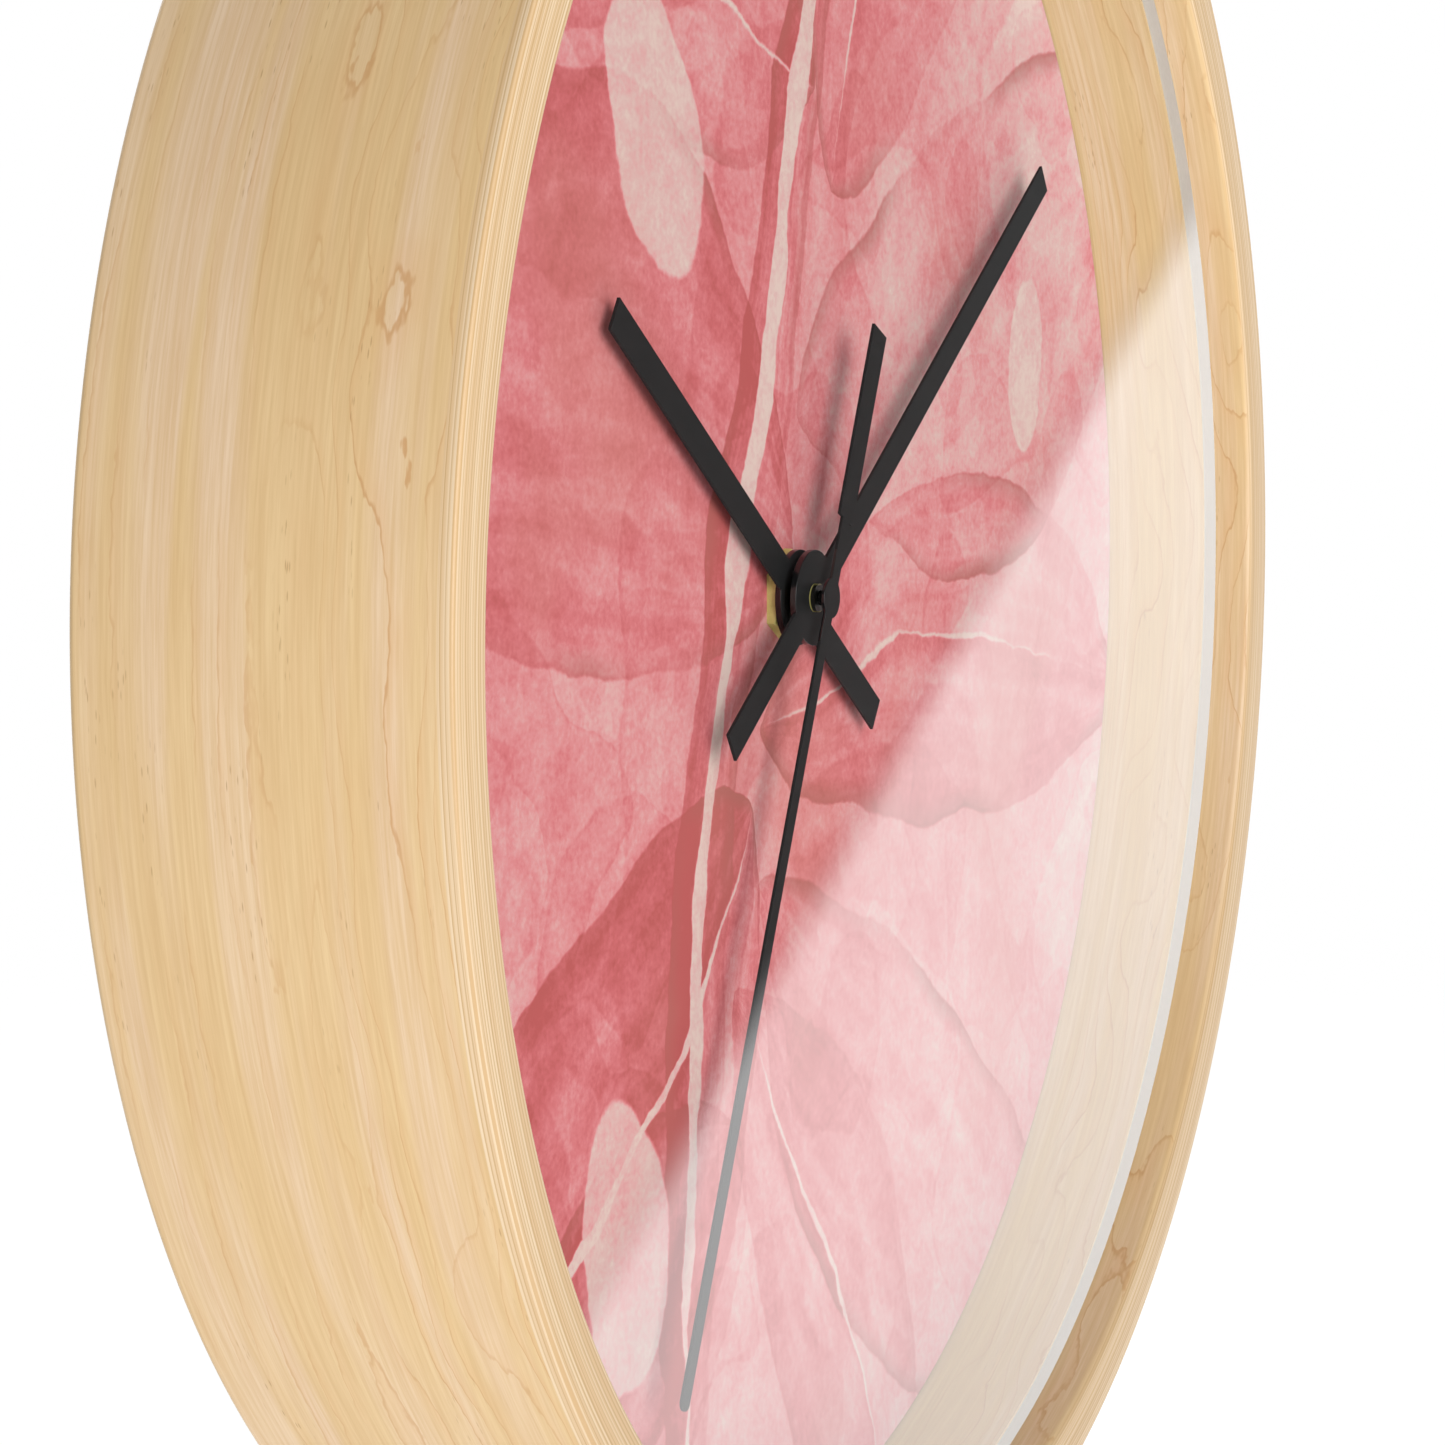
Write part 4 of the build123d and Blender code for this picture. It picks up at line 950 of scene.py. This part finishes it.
def build_rim():
    """The bent rim: a ring with a pocket for the clear front, and rounded corners."""
    bore, outer = radii("rim")
    back, front = depths("rim")
    seat, _ = depths("front_lens")
    pocket = radii("front_lens")[1] + LENS_GAP
    profile = [(bore, back), (bore, seat), (pocket, seat)]
    profile += corner(pocket + RIM_INNER_CORNER, front - RIM_INNER_CORNER, RIM_INNER_CORNER, 180)
    profile += corner(outer - RIM_FRONT_CORNER, front - RIM_FRONT_CORNER, RIM_FRONT_CORNER, 90)
    profile += corner(outer - RIM_BACK_CORNER, back + RIM_BACK_CORNER, RIM_BACK_CORNER, 0)
    piece = new_piece("bent_maple_rim", lathe("bent_maple_rim", profile), ["rim"])
    piece.visible_glossy = False
    return piece


def build_lens():
    """The clear front: a turned disc with a frosted, saw-cut edge."""
    back, front = depths("front_lens")
    _, outer = radii("front_lens")
    profile = [(0.0, back), (outer - LENS_CORNER, back), (outer, back + LENS_CORNER)]
    profile += [(outer, front - LENS_CORNER), (outer - LENS_CORNER, front), (0.0, front)]
    piece = new_piece("clear_front_disc", lathe("clear_front_disc", profile), ["front_lens"])
    piece.data.materials.append(cut_edge_material())
    for face in piece.data.polygons:
        is_edge = abs(face.normal.y) < 0.99
        face.material_index = int(is_edge)
    return piece


def build_dial():
    """The printed dial: a thin disc with a hole for the stem."""
    back, front = depths("dial_print")
    hole, outer = radii("dial_print")
    profile = [(hole, back), (hole, front), (outer, front), (outer, back)]
    return new_piece("printed_dial", lathe("printed_dial", profile), ["dial_print"])


# ---------------------------------------------------------------- stage


def build_camera():
    """A long lens that looks at the dial from the left and slightly above."""
    _, dial_front = depths("dial_print")
    forward = Vector((
        sin(VIEW_YAW) * cos(VIEW_PITCH), cos(VIEW_YAW) * cos(VIEW_PITCH), sin(VIEW_PITCH)))
    aim = Vector((VIEW_AIM_RIGHT, -dial_front, VIEW_AIM_UP))
    data = bpy.data.cameras.new("camera")
    data.sensor_width = SENSOR_WIDTH
    data.lens = FOCAL_LENGTH
    data.clip_start = CLIP_NEAR
    data.clip_end = CLIP_FAR
    camera = bpy.data.objects.new("camera", data)
    camera.location = aim - forward * VIEW_DISTANCE
    camera.rotation_euler = (pi / 2 + VIEW_PITCH, 0.0, -VIEW_YAW)
    bpy.context.scene.collection.objects.link(camera)
    bpy.context.scene.camera = camera


def build_world():
    """White to the camera, a soft surround to matt faces, and one large softbox to glossy faces."""
    world = bpy.data.worlds.new("studio")
    world.use_nodes = True
    bpy.context.scene.world = world
    graph = Graph(world.node_tree)
    direction = graph.add("ShaderNodeTexCoord", {}, "Generated")
    _, _, up = graph.parts(direction)
    softbox = graph.scaled(in_softbox(graph, direction), 0.0, 1.0, SOFTBOX_SHADE, SOFTBOX_STRENGTH)
    surround = graph.scaled(up, -1.0, 1.0, SURROUND_BELOW, SURROUND_ABOVE)
    glossy = graph.add("ShaderNodeLightPath", {}, "Is Glossy Ray")
    camera = graph.add("ShaderNodeLightPath", {}, "Is Camera Ray")
    strength = graph.mix_values(camera, graph.mix_values(glossy, surround, softbox), 1.0)
    background = graph.add("ShaderNodeBackground", {"Color": WHITE, "Strength": strength})
    target = graph.nodes.new("ShaderNodeOutputWorld")
    graph.links.new(background, target.inputs["Surface"])


def soft_light(name, azimuth, elevation, power, height=LIGHT_WIDTH):
    """A soft light that points at the dial's centre from a direction; azimuth 0 is the front."""
    data = bpy.data.lights.new(name, "AREA")
    data.shape = "ELLIPSE"
    data.size = LIGHT_WIDTH
    data.size_y = height
    data.energy = power
    light = bpy.data.objects.new(name, data)
    towards = Vector((sin(azimuth) * cos(elevation), -cos(azimuth) * cos(elevation), sin(elevation)))
    light.location = towards * LIGHT_DISTANCE
    light.rotation_euler = (-towards).to_track_quat("-Z", "Y").to_euler()
    bpy.context.scene.collection.objects.link(light)
    return light


def linked(name, pieces, state):
    """A light-linking collection: INCLUDE for these pieces alone, EXCLUDE for all but these."""
    collection = bpy.data.collections.new(name)
    for piece in pieces:
        collection.objects.link(piece)
    for member in collection.collection_objects:
        member.light_linking.link_state = state
    return collection


def build_lights(rim, lens):
    """The key light lights everything but the rim and the clear front, and the rim light only the rim.
    Those two pieces don't shade either light. Two more lights fill in the back and the right side."""
    key = soft_light("key_light", KEY_AZIMUTH, KEY_ELEVATION, KEY_POWER, KEY_HEIGHT)
    key.light_linking.receiver_collection = linked("key_skips", [rim, lens], "EXCLUDE")
    key.light_linking.blocker_collection = linked("key_passes", [rim, lens], "EXCLUDE")
    side = soft_light(
        "rim_light", RIM_LIGHT_AZIMUTH, RIM_LIGHT_ELEVATION, RIM_LIGHT_POWER, RIM_LIGHT_HEIGHT)
    side.light_linking.receiver_collection = linked("rim_light_reaches", [rim], "INCLUDE")
    side.light_linking.blocker_collection = linked("rim_light_passes", [rim, lens], "EXCLUDE")
    back = soft_light("back_light", BACK_AZIMUTH, BACK_ELEVATION, BACK_POWER)
    back.light_linking.receiver_collection = linked("back_skips", [lens], "EXCLUDE")
    soft_light("right_light", RIGHT_AZIMUTH, RIGHT_ELEVATION, RIGHT_POWER)


def build_floor():
    """A plain pale sweep under the clock, bright enough to read as white with a faint shadow."""
    size = FLOOR_SIZE / 2
    mesh = bpy.data.meshes.new("floor")
    corners = [(-size, -size, 0), (size, -size, 0), (size, size, 0), (-size, size, 0)]
    mesh.from_pydata(corners, [], [(0, 1, 2, 3)])
    floor = bpy.data.objects.new("floor", mesh)
    floor.location.z = cad_low.z - FLOOR_GAP
    floor.visible_glossy = False
    bpy.context.scene.collection.objects.link(floor)
    made, graph = material("pale_floor")
    reach = graph.vector("LENGTH", graph.place(), output="Value")
    near = graph.step(reach, FLOOR_NEAR, FLOOR_FAR, 1.0, 0.0)
    glow = graph.add("ShaderNodeEmission", {"Color": WHITE, "Strength": FLOOR_GLOW})
    matt = graph.add("ShaderNodeBsdfDiffuse", {"Color": (FLOOR_SHADE, FLOOR_SHADE, FLOOR_SHADE, 1.0)})
    lit = graph.add("ShaderNodeAddShader", {0: glow, 1: matt})
    clear = graph.add("ShaderNodeBsdfTransparent", {"Color": WHITE})
    graph.add_output(graph.add("ShaderNodeMixShader", {0: near, 1: clear, 2: lit}))
    mesh.materials.append(made)


rim = build_rim()
lens = build_lens()
build_dial()
for node, rounding in ROUNDED.items():
    refined(node, rounding * MM)
# The CAD nodes that no piece stands for keep their shape, and get their slot's material
for node, cad_object in frame["nodes"].items():
    if not cad_object.hide_render:
        cad_object.data.materials.clear()
        cad_object.data.materials.append(slot_material(SLOT_OF[node]))
build_camera()
build_world()
build_lights(rim, lens)
build_floor()
bpy.context.scene.view_settings.view_transform = "Standard"
